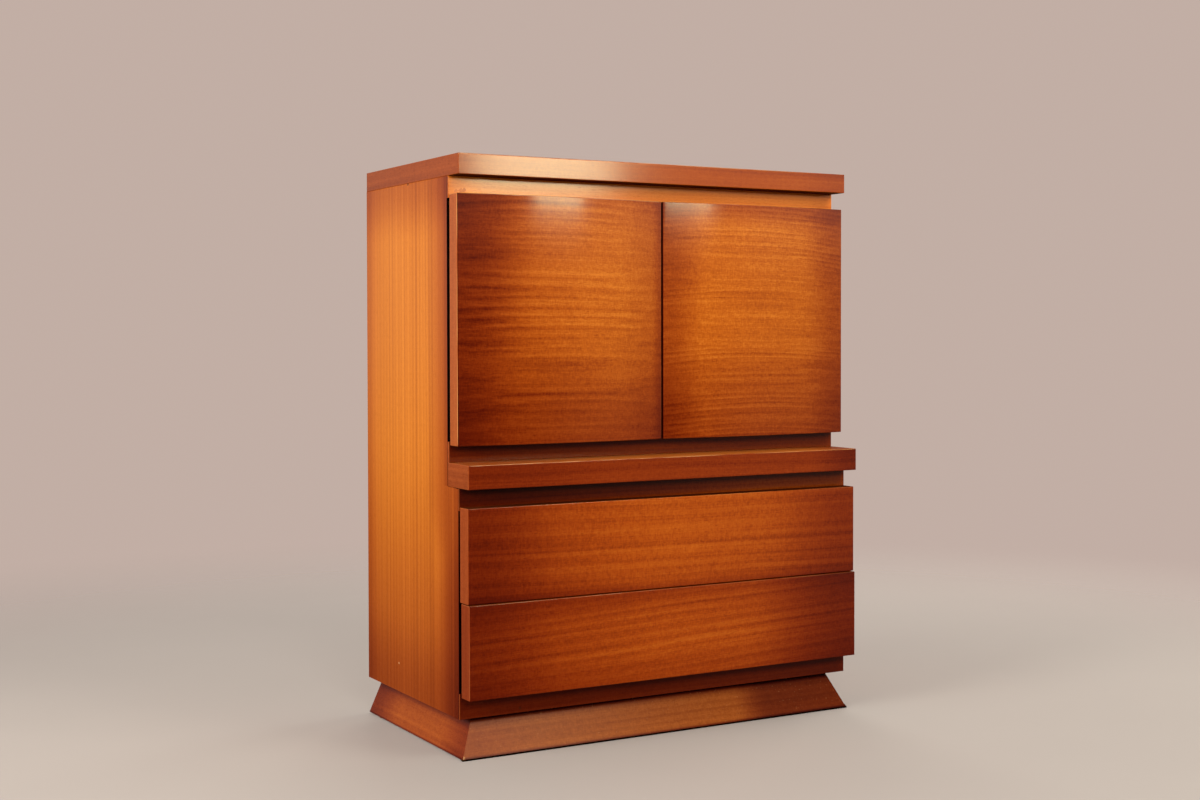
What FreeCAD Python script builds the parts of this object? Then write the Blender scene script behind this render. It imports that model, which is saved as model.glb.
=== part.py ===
import FreeCAD, Part
import math
import os
import Sketcher

# Bachelor chest: a cupboard with two bowed doors over two drawers, on a flared plinth.
# Front faces -Y, +X is to the right, +Z is up, and the floor is z = 0. Millimetres.

# Driving sizes: each alias with its value and what it measures.
SIZES = [
    ("case_width", 1016.0, "over the outer faces of the side panels"),
    ("upper_depth", 463.1, "from the face of the upper rails to the back"),
    ("lower_step", 49.3, "how far the lower rails stand forward of the upper ones"),
    ("side_thickness", 20.0, "side panel"),
    ("slab_thickness", 44.2, "top slab"),
    ("slab_overhang", 50.8, "top slab forward of the upper rails"),
    ("shelf_thickness", 50.9, "waist shelf"),
    ("shelf_overhang", 47.1, "waist shelf forward of the lower rails"),
    ("rail_thickness", 25.0, "face rail between the sides"),
    ("rail_lap", 7.4, "upper face rails in front of the side panel's edge"),
    ("lower_lap", 3.0, "lower face rails in front of the side panel's edge"),
    ("front_overlap", 8.0, "how far doors and drawer fronts cover a rail"),
    ("panel_thickness", 18.0, "cupboard floor, case bottom and loose shelf"),
    ("back_thickness", 6.0, "back panel"),
    ("rebate_width", 10.0, "back panel let into the side panel"),
    ("arris", 1.5, "rounded edge of slab, waist shelf and fronts"),
    ("bottom_reveal", 46.7, "bottom rail below the lower drawer front"),
    ("lower_front_height", 199.4, "lower drawer front"),
    ("seam_gap", 1.6, "between the two drawer fronts"),
    ("upper_front_height", 201.3, "upper drawer front"),
    ("drawer_reveal", 39.9, "recess above the drawers"),
    ("door_lower_reveal", 36.8, "recess below the doors"),
    ("door_height", 534.2, "door"),
    ("door_upper_reveal", 39.0, "rail above the doors"),
    ("door_edge", 38.1, "door thickness at its upright edges"),
    ("door_bow", 14.5, "rise of the bowed front at the middle of a door"),
    ("door_gap", 2.6, "between the door's back and the rails"),
    ("door_inset", 1.2, "door edge in from the case's side"),
    ("meeting_gap", 3.5, "between the two doors"),
    ("front_thickness", 40.0, "drawer front"),
    ("front_inset", 1.8, "drawer front's end in from the case's side"),
    ("lower_rest", 5.1, "how far the lower drawer stands open"),
    ("box_depth", 420.0, "drawer box, front to back"),
    ("box_clearance", 6.0, "drawer box to the rails above and below it"),
    ("box_gap", 4.0, "between drawer side and side panel"),
    ("box_wall", 13.0, "drawer side and drawer back"),
    ("box_front_wall", 15.0, "inner front of the drawer box"),
    ("box_back_drop", 8.0, "drawer back below the drawer sides"),
    ("drawer_bottom", 6.0, "drawer bottom"),
    ("bottom_lift", 10.0, "drawer bottom above the lower edge of the box"),
    ("bottom_groove", 6.0, "depth of the groove that holds the drawer bottom"),
    ("runner_width", 11.0, "drawer runner, out from the side panel"),
    ("runner_height", 15.0, "drawer runner"),
    ("runner_lift", 75.0, "runner above the lower edge of the box"),
    ("runner_play", 1.0, "drawer groove below the runner"),
    ("runner_side_play", 0.5, "runner to the bottom of the drawer's groove"),
    ("plinth_height", 83.3, "plinth"),
    ("plinth_flare", 38.1, "how far the plinth spreads from top to floor"),
    ("plinth_wall", 22.0, "plinth board, measured level"),
    ("cleat_size", 22.0, "glue cleat inside the plinth"),
    ("plinth_projection", 11.5, "plinth at the floor, forward of the lower rails"),
    ("plinth_inset", 0.9, "plinth at the floor, in from the case's side"),
    ("glide_height", 3.0, "floor glide"),
    ("glide_diameter", 18.0, "floor glide"),
    ("glide_inset", 60.0, "floor glide from the plinth's corner"),
    ("pin_inset", 2.7, "hinge pin from the door's outer edge"),
    ("pin_diameter", 3.0, "hinge pin"),
    ("barrel_diameter", 7.4, "hinge barrel"),
    ("leaf_thickness", 1.5, "hinge leaf"),
    ("leaf_width", 14.0, "hinge leaf, from the pin to its inner edge"),
    ("leaf_clearance", 0.4, "hinge leaf to the barrel of the other leaf"),
    ("knuckle_gap", 0.4, "between two knuckles of a hinge"),
    ("hinge_margin", 4.0, "end of the hinge to the rail above or below it"),
    ("running_fit", 0.05, "clearance of parts that turn in each other, on the radius"),
    ("seat_fit", 0.1, "clearance of pins and screws in their holes, on the radius"),
    ("hinge_screw", 3.0, "hinge screw's shank"),
    ("hinge_screw_length", 14.0, "hinge screw below its head"),
    ("hinge_screw_head", 6.0, "hinge screw's head"),
    ("hinge_screw_edge", 35.0, "hinge screw from the end of the leaf"),
    ("front_screw", 4.5, "drawer front screw's shank"),
    ("front_screw_length", 36.0, "drawer front screw below its head"),
    ("front_screw_head", 9.0, "drawer front screw's head"),
    ("front_screw_side", 120.0, "drawer front screw from the end of the box front"),
    ("front_screw_edge", 40.0, "drawer front screw from the upper and lower edge"),
    ("screw_head_height", 2.2, "head of a screw"),
    ("hole_spare", 1.0, "how much deeper a blind hole is than what it holds"),
    ("shelf_pin", 6.0, "shelf pin"),
    ("shelf_pin_length", 19.0, "shelf pin"),
    ("shelf_pin_seat", 10.0, "shelf pin in the side panel"),
    ("shelf_pin_front", 60.0, "front pins behind the face of the upper rails"),
    ("shelf_pin_back", 60.0, "rear pins in front of the back panel"),
    ("shelf_pin_first", 196.0, "lowest pin hole above the cupboard floor"),
    ("shelf_pin_pitch", 32.0, "from one row of pin holes to the next"),
    ("loose_shelf_setback", 30.0, "loose shelf behind the face of the upper rails"),
    ("loose_shelf_play", 1.0, "loose shelf to side panel and back panel"),
    ("catch_length", 46.0, "magnetic catch"),
    ("catch_depth", 20.0, "magnetic catch"),
    ("catch_height", 14.0, "magnetic catch"),
    ("catch_offset", 30.0, "magnetic catch from the middle of the case"),
    ("catch_gap", 0.1, "between catch and strike"),
    ("strike_thickness", 1.2, "strike plate"),
]
PIN_ROWS = 5
PIN_ROW_USED = 2
KNUCKLE_PAIRS = 5
LEAF_SCREWS = 4

doc = FreeCAD.newDocument("bachelor_chest")
sheet = doc.addObject("Spreadsheet::Sheet", "dim")
for row, (alias, value, meaning) in enumerate(SIZES, start=1):
    sheet.set(f"A{row}", alias)
    sheet.set(f"B{row}", str(value))
    sheet.set(f"C{row}", meaning)
    sheet.setAlias(f"B{row}", alias)
doc.recompute()

# Places that several pieces share, as expressions of the driving sizes.
HALF = "(dim.case_width / 2)"
INNER = "(dim.case_width / 2 - dim.side_thickness)"
Y_UPPER = "((dim.shelf_overhang + dim.lower_step - dim.upper_depth) / 2)"
Y_LOWER = f"({Y_UPPER} - dim.lower_step)"
Y_BACK = f"({Y_UPPER} + dim.upper_depth)"
Y_PANEL = f"({Y_BACK} - dim.back_thickness)"
Y_DOOR = f"({Y_UPPER} - dim.door_gap)"
Z_CASE = "(dim.glide_height + dim.plinth_height)"
Z_LOWER_FRONT = f"({Z_CASE} + dim.bottom_reveal)"
Z_UPPER_FRONT = f"({Z_LOWER_FRONT} + dim.lower_front_height + dim.seam_gap)"
Z_SHELF = f"({Z_UPPER_FRONT} + dim.upper_front_height + dim.drawer_reveal)"
Z_WAIST = f"({Z_SHELF} + dim.shelf_thickness)"
Z_DOOR = f"({Z_WAIST} + dim.door_lower_reveal)"
Z_DOOR_TOP = f"({Z_DOOR} + dim.door_height)"
Z_SLAB = f"({Z_DOOR_TOP} + dim.door_upper_reveal)"
Z_FLOOR = f"({Z_DOOR} + dim.front_overlap)"
Z_HEAD = f"({Z_DOOR_TOP} - dim.front_overlap)"
TOP_RAIL_HEIGHT = "(dim.door_upper_reveal + dim.front_overlap)"
Z_PINS = f"({Z_FLOOR} + dim.shelf_pin_first)"
Z_LOOSE_SHELF = f"({Z_PINS} + {PIN_ROW_USED} * dim.shelf_pin_pitch + dim.shelf_pin / 2)"

# Continuous hinge between the side panel's front edge and the door's back. Its pin runs midway between
# the two, and its screws are measured from the pin and from the lower end of the hinge.
PIN_FROM_SIDE = "(dim.door_inset + dim.pin_inset)"
PIN_FROM_LEAF = "((dim.door_gap + dim.rail_lap) / 2)"
Y_PIN = f"({Y_DOOR} + {PIN_FROM_LEAF})"
Z_HINGE = f"({Z_FLOOR} + dim.hinge_margin)"
HINGE_LENGTH = f"({Z_HEAD} - {Z_FLOOR} - 2 * dim.hinge_margin)"
KNUCKLE = f"({HINGE_LENGTH} / {2 * KNUCKLE_PAIRS})"
LEAF_START = "(dim.barrel_diameter / 2 + dim.leaf_clearance)"
LEAF_MIDDLE = f"(({LEAF_START} + dim.leaf_width) / 2)"
SCREW_PITCH = f"(({HINGE_LENGTH} - 2 * dim.hinge_screw_edge) / {LEAF_SCREWS - 1})"
SCREW_LEVELS = [f"(dim.hinge_screw_edge + {index} * {SCREW_PITCH})" for index in range(LEAF_SCREWS)]
HINGE_HOLE = "(dim.hinge_screw + 2 * dim.seat_fit)"
HINGE_PILOT = "(dim.hinge_screw_length - dim.leaf_thickness + dim.hole_spare)"

UP = FreeCAD.Rotation()
FORWARD = FreeCAD.Rotation(FreeCAD.Vector(1, 0, 0), 90)
BACKWARD = FreeCAD.Rotation(FreeCAD.Vector(1, 0, 0), -90)
LEFT_TO_RIGHT = FreeCAD.Rotation(FreeCAD.Vector(0, 1, 0), 90)

nodes = []


# Helpers

def number(expression):
    """The value of an expression of the driving sizes."""
    return float(sheet.evalExpression(expression))


def new_body(label, corner, rotation=UP):
    """An empty body whose own origin lies at corner, given as three expressions."""
    body = doc.addObject("PartDesign::Body", label)
    body.Label = label
    body.Placement = FreeCAD.Placement(FreeCAD.Vector(), rotation)
    for axis, expression in zip("xyz", corner):
        body.setExpression(f"Placement.Base.{axis}", expression)
    return body


def origin_feature(body, role):
    """One of a body's own origin planes or axes."""
    return next(item for item in body.Origin.OriginFeatures if item.Role == role)


def new_sketch(body, name, plane, height):
    """A sketch on one of the body's origin planes, raised along that plane's normal."""
    sketch = body.newObject("Sketcher::SketchObject", name)
    sketch.AttachmentSupport = [(origin_feature(body, plane), "")]
    sketch.MapMode = "FlatFace"
    sketch.setExpression("AttachmentOffset.Base.z", height)
    return sketch


def edge_between(start, end, radius):
    """A straight edge, or an arc that bulges to the right of its direction."""
    if radius is None:
        return Part.LineSegment(start, end)
    chord = end.sub(start)
    sagitta = radius - math.sqrt(radius ** 2 - (chord.Length / 2) ** 2)
    outward = FreeCAD.Vector(chord.y, -chord.x, 0).normalize()
    middle = start.add(end).multiply(1 / 2).add(outward.multiply(sagitta))
    return Part.Arc(start, middle, end)


def outline(body, name, plane, corners, height="0"):
    """A closed outline. A corner is two expressions, and a third is the radius of the arc after it."""
    sketch = new_sketch(body, name, plane, height)
    points = [FreeCAD.Vector(number(corner[0]), number(corner[1]), 0) for corner in corners]
    radii = [number(corner[2]) if len(corner) > 2 else None for corner in corners]
    count = len(corners)
    for index in range(count):
        following = (index + 1) % count
        sketch.addGeometry(edge_between(points[index], points[following], radii[index]), False)
    joins = [Sketcher.Constraint("Coincident", index, 2, (index + 1) % count, 1) for index in range(count)]
    sketch.addConstraint(joins)
    for index, corner in enumerate(corners):
        across = sketch.addConstraint(Sketcher.Constraint("DistanceX", -1, 1, index, 1, points[index].x))
        along = sketch.addConstraint(Sketcher.Constraint("DistanceY", -1, 1, index, 1, points[index].y))
        sketch.setExpression(f"Constraints[{across}]", corner[0])
        sketch.setExpression(f"Constraints[{along}]", corner[1])
        if radii[index] is not None:
            round_edge = sketch.addConstraint(Sketcher.Constraint("Radius", index, radii[index]))
            sketch.setExpression(f"Constraints[{round_edge}]", corner[2])
    return sketch


def rectangle(left, front, length, width):
    """The four corners of a rectangle."""
    right = f"{left} + {length}"
    back = f"{front} + {width}"
    return [(left, front), (right, front), (right, back), (left, back)]


def pad(body, sketch, length):
    """Material raised on a sketch, along its normal."""
    feature = body.newObject("PartDesign::Pad", f"{sketch.Name}_pad")
    feature.Profile = (sketch, [""])
    feature.setExpression("Length", length)
    return feature


def pocket(body, sketch, depth, along_normal=False):
    """Material taken away under a sketch, against its normal unless it is turned round."""
    feature = body.newObject("PartDesign::Pocket", f"{sketch.Name}_pocket")
    feature.Profile = (sketch, [""])
    feature.setExpression("Length", depth)
    feature.Reversed = along_normal
    return feature


def board(label, corner, size):
    """A rectangular board: its lowest corner, and its length, width and height."""
    length, width, height = size
    body = new_body(label, corner)
    sketch = outline(body, f"{label}_plan", "XY_Plane", rectangle("0", "0", length, width))
    pad(body, sketch, height)
    nodes.append(body)
    return body


def cut_box(body, name, corner, size):
    """A groove, rebate or slot: a box taken out of a body, in the body's own coordinates."""
    left, front, low = corner
    length, width, height = size
    sketch = outline(body, name, "XY_Plane", rectangle(left, front, length, width), f"{low} + {height}")
    pocket(body, sketch, height)


def drill(body, name, plane, centres, diameter, depth, height="0", along_normal=False):
    """Round holes of one size, drilled from a plane of the body."""
    sketch = new_sketch(body, name, plane, height)
    for index, (across, along) in enumerate(centres):
        centre = FreeCAD.Vector(number(across), number(along), 0)
        sketch.addGeometry(Part.Circle(centre, FreeCAD.Vector(0, 0, 1), number(diameter) / 2), False)
        first = sketch.addConstraint(Sketcher.Constraint("DistanceX", -1, 1, index, 3, centre.x))
        second = sketch.addConstraint(Sketcher.Constraint("DistanceY", -1, 1, index, 3, centre.y))
        size = sketch.addConstraint(Sketcher.Constraint("Diameter", index, number(diameter)))
        sketch.setExpression(f"Constraints[{first}]", across)
        sketch.setExpression(f"Constraints[{second}]", along)
        sketch.setExpression(f"Constraints[{size}]", diameter)
    return pocket(body, sketch, depth, along_normal)


def round_arrises(body):
    """A small radius on every edge that the body has so far."""
    doc.recompute()
    base = body.Tip
    fillet = body.newObject("PartDesign::Fillet", f"{body.Name}_arrises")
    fillet.Base = (base, [f"Edge{index}" for index in range(1, len(base.Shape.Edges) + 1)])
    fillet.setExpression("Radius", "dim.arris")


def turned(label, corner, rotation, profile):
    """A turned piece: its profile gives radius and height about its own upright axis."""
    body = new_body(label, corner, rotation)
    sketch = outline(body, f"{label}_profile", "XZ_Plane", profile)
    feature = body.newObject("PartDesign::Revolution", f"{label}_turning")
    feature.Profile = (sketch, [""])
    feature.ReferenceAxis = (sketch, ["V_Axis"])
    return body


def headed_profile(shank, length, head, head_height):
    """The profile of a screw or headed pin: its shank points up, and its head lies below zero."""
    return [
        ("0", f"-{head_height}"),
        (f"{head} / 2", f"-{head_height}"),
        (f"{head} / 2", "0"),
        (f"{shank} / 2", "0"),
        (f"{shank} / 2", length),
        ("0", length),
    ]


def group(label, members):
    """Like pieces kept as separate solids under one name."""
    compound = doc.addObject("Part::Compound", label)
    compound.Label = label
    compound.Links = members
    nodes.append(compound)


# Case

def side_panel(label, left, inner_face, rebate_left, inner_is_low, screw_across):
    """A board with its front edge stepped at the waist, rebated for the back, bored for screws and pins."""
    body = new_body(label, (left, Y_UPPER, Z_CASE))
    rise = f"{Z_SLAB} - {Z_CASE}"
    step = f"{Z_SHELF} - {Z_CASE}"
    lower_edge = "dim.lower_lap - dim.lower_step"
    corners = [
        (lower_edge, "0"),
        ("dim.upper_depth", "0"),
        ("dim.upper_depth", rise),
        ("dim.rail_lap", rise),
        ("dim.rail_lap", step),
        (lower_edge, step),
    ]
    pad(body, outline(body, f"{label}_elevation", "YZ_Plane", corners), "dim.side_thickness")
    rebate_front = "dim.upper_depth - dim.back_thickness"
    rebate_size = ("dim.rebate_width", "dim.back_thickness", rise)
    cut_box(body, f"{label}_rebate", (rebate_left, rebate_front, "0"), rebate_size)
    screws = [(screw_across, f"{Z_HINGE} - {Z_CASE} + {level}") for level in SCREW_LEVELS]
    drill(body, f"{label}_screw_holes", "XZ_Plane", screws, HINGE_HOLE, HINGE_PILOT, "-dim.rail_lap")
    pin_height = f"{Z_PINS} - {Z_CASE}"
    columns = [
        ("dim.shelf_pin_front", pin_height),
        (f"{rebate_front} - dim.shelf_pin_back", pin_height),
    ]
    hole = "dim.shelf_pin + 2 * dim.seat_fit"
    hole_depth = "dim.shelf_pin_seat + dim.seat_fit"
    hole_name = f"{label}_pin_holes"
    holes = drill(body, hole_name, "YZ_Plane", columns, hole, hole_depth, inner_face, inner_is_low)
    rows = body.newObject("PartDesign::LinearPattern", f"{label}_pin_rows")
    rows.Originals = [holes]
    rows.Direction = (origin_feature(body, "Z_Axis"), [""])
    rows.setExpression("Length", f"{PIN_ROWS - 1} * dim.shelf_pin_pitch")
    rows.Occurrences = PIN_ROWS
    body.Tip = rows
    nodes.append(body)


def face_rail(label, front, low, height, lap):
    """A full-width rail: thick between the sides, and lapped over their front edges."""
    body = new_body(label, (f"-{HALF}", front, low))
    right = "dim.case_width"
    right_shoulder = "dim.case_width - dim.side_thickness"
    corners = [
        ("0", "0"),
        (right, "0"),
        (right, lap),
        (right_shoulder, lap),
        (right_shoulder, "dim.rail_thickness"),
        ("dim.side_thickness", "dim.rail_thickness"),
        ("dim.side_thickness", lap),
        ("0", lap),
    ]
    pad(body, outline(body, f"{label}_plan", "XY_Plane", corners), height)
    nodes.append(body)


left_rebate = "dim.side_thickness - dim.rebate_width"
screw_from_side = f"({PIN_FROM_SIDE} + {LEAF_MIDDLE})"
side_panel("left_side_panel", f"-{HALF}", "dim.side_thickness", left_rebate, False, screw_from_side)
side_panel("right_side_panel", INNER, "0", "0", True, f"dim.side_thickness - {screw_from_side}")

top_slab = board(
    "top_slab",
    (f"-{HALF}", f"{Y_UPPER} - dim.slab_overhang", Z_SLAB),
    ("dim.case_width", "dim.upper_depth + dim.slab_overhang", "dim.slab_thickness"),
)
round_arrises(top_slab)

waist_shelf = board(
    "waist_shelf",
    (f"-{HALF}", f"{Y_LOWER} - dim.shelf_overhang", Z_SHELF),
    ("dim.case_width", "dim.shelf_overhang + dim.lower_step + dim.rail_lap", "dim.shelf_thickness"),
)
round_arrises(waist_shelf)

cupboard_rail_height = "(dim.door_lower_reveal + dim.front_overlap)"
drawer_rail_height = "(dim.drawer_reveal + dim.front_overlap)"
face_rail("top_rail", Y_UPPER, Z_HEAD, TOP_RAIL_HEIGHT, "dim.rail_lap")
face_rail("cupboard_rail", Y_UPPER, Z_WAIST, cupboard_rail_height, "dim.rail_lap")
z_drawer_rail = f"{Z_SHELF} - {drawer_rail_height}"
face_rail("drawer_rail", Y_LOWER, z_drawer_rail, drawer_rail_height, "dim.lower_lap")
face_rail("bottom_rail", Y_LOWER, Z_CASE, "dim.bottom_reveal + dim.front_overlap", "dim.lower_lap")

board(
    "rear_top_rail",
    (f"-{INNER}", f"{Y_PANEL} - dim.rail_thickness", Z_HEAD),
    (f"2 * {INNER}", "dim.rail_thickness", TOP_RAIL_HEIGHT),
)
board(
    "drawer_divider",
    (f"-{INNER}", Y_LOWER, f"{Z_UPPER_FRONT} - dim.seam_gap - dim.front_overlap"),
    (f"2 * {INNER}", "dim.rail_thickness", "dim.seam_gap + 2 * dim.front_overlap"),
)
board(
    "cupboard_floor",
    (f"-{INNER}", f"{Y_UPPER} + dim.rail_thickness", f"{Z_FLOOR} - dim.panel_thickness"),
    (f"2 * {INNER}", f"{Y_PANEL} - {Y_UPPER} - dim.rail_thickness", "dim.panel_thickness"),
)
board(
    "case_bottom",
    (f"-{INNER}", f"{Y_LOWER} + dim.rail_thickness", Z_CASE),
    (f"2 * {INNER}", f"{Y_PANEL} - {Y_LOWER} - dim.rail_thickness", "dim.panel_thickness"),
)

z_back_joint = f"({Z_FLOOR} - dim.panel_thickness / 2)"
back_left = f"-({INNER} + dim.rebate_width)"
back_length = f"2 * ({INNER} + dim.rebate_width)"
board(
    "upper_back_panel",
    (back_left, Y_PANEL, z_back_joint),
    (back_length, "dim.back_thickness", f"{Z_SLAB} - {z_back_joint}"),
)
board(
    "lower_back_panel",
    (back_left, Y_PANEL, Z_CASE),
    (back_length, "dim.back_thickness", f"{z_back_joint} - {Z_CASE}"),
)

# Loose shelf on four pins
board(
    "cupboard_shelf",
    (f"-({INNER} - dim.loose_shelf_play)", f"{Y_UPPER} + dim.loose_shelf_setback", Z_LOOSE_SHELF),
    (
        f"2 * ({INNER} - dim.loose_shelf_play)",
        f"{Y_PANEL} - {Y_UPPER} - dim.loose_shelf_setback - dim.loose_shelf_play",
        "dim.panel_thickness",
    ),
)
pin_profile = [
    ("0", "0"),
    ("dim.shelf_pin / 2", "0"),
    ("dim.shelf_pin / 2", "dim.shelf_pin_length"),
    ("0", "dim.shelf_pin_length"),
]
pin_starts = [
    ("left", f"-({INNER} + dim.shelf_pin_seat)"),
    ("right", f"{INNER} + dim.shelf_pin_seat - dim.shelf_pin_length"),
]
pin_rows = [
    ("front", f"{Y_UPPER} + dim.shelf_pin_front"),
    ("rear", f"{Y_PANEL} - dim.shelf_pin_back"),
]
shelf_pins = []
for side, start in pin_starts:
    for row, depth in pin_rows:
        place = (start, depth, f"{Z_LOOSE_SHELF} - dim.shelf_pin / 2")
        shelf_pins.append(turned(f"shelf_pin_{side}_{row}", place, LEFT_TO_RIGHT, pin_profile))
group("shelf_pins", shelf_pins)

# Plinth

plinth_left_edge = f"(dim.plinth_inset - {HALF})"
plinth_length = "(dim.case_width - 2 * dim.plinth_inset)"
plinth_front_edge = f"({Y_LOWER} - dim.plinth_projection)"
plinth_depth = f"({Y_BACK} - {plinth_front_edge})"
mitre_reach = "(dim.plinth_wall + dim.plinth_flare)"


def flared_section(sign):
    """The section of a plinth board that leans inwards as it rises."""
    return [
        ("0", "0"),
        (f"{sign} * dim.plinth_wall", "0"),
        (f"{sign} * {mitre_reach}", "dim.plinth_height"),
        (f"{sign} * dim.plinth_flare", "dim.plinth_height"),
    ]


def cut_mitre(body, name, corners):
    """A front corner cut off along an upright mitre plane."""
    pocket(body, outline(body, name, "XY_Plane", corners, "dim.plinth_height"), "dim.plinth_height")


plinth_front = new_body("plinth_front", (plinth_left_edge, plinth_front_edge, "dim.glide_height"))
front_section = outline(plinth_front, "plinth_front_section", "YZ_Plane", flared_section(1))
pad(plinth_front, front_section, plinth_length)
mitre_left = [("0", "0"), (mitre_reach, mitre_reach), ("0", mitre_reach)]
cut_mitre(plinth_front, "plinth_front_left_mitre", mitre_left)
mitre_right = [(f"{plinth_length} - {across}", along) for across, along in mitre_left]
cut_mitre(plinth_front, "plinth_front_right_mitre", mitre_right)
nodes.append(plinth_front)

for side, sign in (("left", 1), ("right", -1)):
    name = f"plinth_{side}"
    plinth_side = new_body(name, (f"{sign} * {plinth_left_edge}", Y_BACK, "dim.glide_height"))
    section = outline(plinth_side, f"{name}_section", "XZ_Plane", flared_section(sign))
    pad(plinth_side, section, plinth_depth)
    mitre = [
        ("0", f"-{plinth_depth}"),
        (f"{sign} * {mitre_reach}", f"-{plinth_depth}"),
        (f"{sign} * {mitre_reach}", f"{mitre_reach} - {plinth_depth}"),
    ]
    cut_mitre(plinth_side, f"{name}_mitre", mitre)
    nodes.append(plinth_side)

plinth_back = new_body("plinth_back", (plinth_left_edge, Y_BACK, "dim.glide_height"))
back_corners = [
    ("dim.plinth_wall", "0"),
    (f"{plinth_length} - dim.plinth_wall", "0"),
    (f"{plinth_length} - {mitre_reach}", "dim.plinth_height"),
    (mitre_reach, "dim.plinth_height"),
]
pad(plinth_back, outline(plinth_back, "plinth_back_face", "XZ_Plane", back_corners), "dim.plinth_wall")
nodes.append(plinth_back)

cleat_low = "(dim.plinth_height - dim.cleat_size)"
cleat_outer_low = f"(dim.plinth_wall + dim.plinth_flare * {cleat_low} / dim.plinth_height)"
cleat_inner = f"({mitre_reach} + dim.cleat_size)"


def cleat_section(sign):
    """The section of a glue cleat that lies against the leaning inner face of a plinth board."""
    return [
        (f"{sign} * {cleat_outer_low}", cleat_low),
        (f"{sign} * {cleat_inner}", cleat_low),
        (f"{sign} * {cleat_inner}", "dim.plinth_height"),
        (f"{sign} * {mitre_reach}", "dim.plinth_height"),
    ]


cleat_left = f"{plinth_left_edge} + {cleat_inner}"
front_cleat = new_body("plinth_front_cleat", (cleat_left, plinth_front_edge, "dim.glide_height"))
front_cleat_section = outline(front_cleat, "plinth_front_cleat_section", "YZ_Plane", cleat_section(1))
pad(front_cleat, front_cleat_section, f"{plinth_length} - 2 * {cleat_inner}")
nodes.append(front_cleat)

for side, sign in (("left", 1), ("right", -1)):
    name = f"plinth_{side}_cleat"
    cleat_place = (f"{sign} * {plinth_left_edge}", f"{Y_BACK} - dim.plinth_wall", "dim.glide_height")
    side_cleat = new_body(name, cleat_place)
    section = outline(side_cleat, f"{name}_section", "XZ_Plane", cleat_section(sign))
    pad(side_cleat, section, f"{plinth_depth} - dim.plinth_wall - {mitre_reach}")
    nodes.append(side_cleat)

glide_profile = [
    ("0", "0"),
    ("dim.glide_diameter / 2", "0"),
    ("dim.glide_diameter / 2", "dim.glide_height"),
    ("0", "dim.glide_height"),
]
floor_glides = []
for side, sign in (("left", 1), ("right", -1)):
    glide_places = [
        ("front", f"{plinth_left_edge} + dim.glide_inset", f"{plinth_front_edge} + dim.plinth_wall / 2"),
        ("rear", f"{plinth_left_edge} + dim.plinth_wall / 2", f"{Y_BACK} - dim.glide_inset"),
    ]
    for end, across, along in glide_places:
        place = (f"{sign} * ({across})", along, "0")
        floor_glides.append(turned(f"glide_{side}_{end}", place, UP, glide_profile))
group("floor_glides", floor_glides)

# Doors and their hinges

door_width = f"({HALF} - dim.door_inset - dim.meeting_gap / 2)"
door_radius = f"{door_width} ^ 2 / (8 * dim.door_bow) + dim.door_bow / 2"


def door(label, left, screw_across):
    """A thick door with a flat back and a bowed front, bored for the screws of its hinge."""
    body = new_body(label, (left, Y_DOOR, Z_DOOR))
    corners = [
        ("0", "-dim.door_edge", door_radius),
        (door_width, "-dim.door_edge"),
        (door_width, "0"),
        ("0", "0"),
    ]
    pad(body, outline(body, f"{label}_plan", "XY_Plane", corners), "dim.door_height")
    round_arrises(body)
    screws = [(screw_across, f"{Z_HINGE} - {Z_DOOR} + {level}") for level in SCREW_LEVELS]
    drill(body, f"{label}_screw_holes", "XZ_Plane", screws, HINGE_HOLE, HINGE_PILOT, "0", True)
    nodes.append(body)


screw_from_edge = f"(dim.pin_inset + {LEAF_MIDDLE})"
door("left_door", f"dim.door_inset - {HALF}", screw_from_edge)
door("right_door", "dim.meeting_gap / 2", f"{door_width} - {screw_from_edge}")


def raised_disc(body, name, height, diameter, length):
    """A round stub about the body's upright axis."""
    sketch = new_sketch(body, name, "XY_Plane", height)
    sketch.addGeometry(Part.Circle(FreeCAD.Vector(), FreeCAD.Vector(0, 0, 1), number(diameter) / 2), False)
    sketch.addConstraint(Sketcher.Constraint("Coincident", 0, 3, -1, 1))
    size = sketch.addConstraint(Sketcher.Constraint("Diameter", 0, number(diameter)))
    sketch.setExpression(f"Constraints[{size}]", diameter)
    return pad(body, sketch, length)


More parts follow.
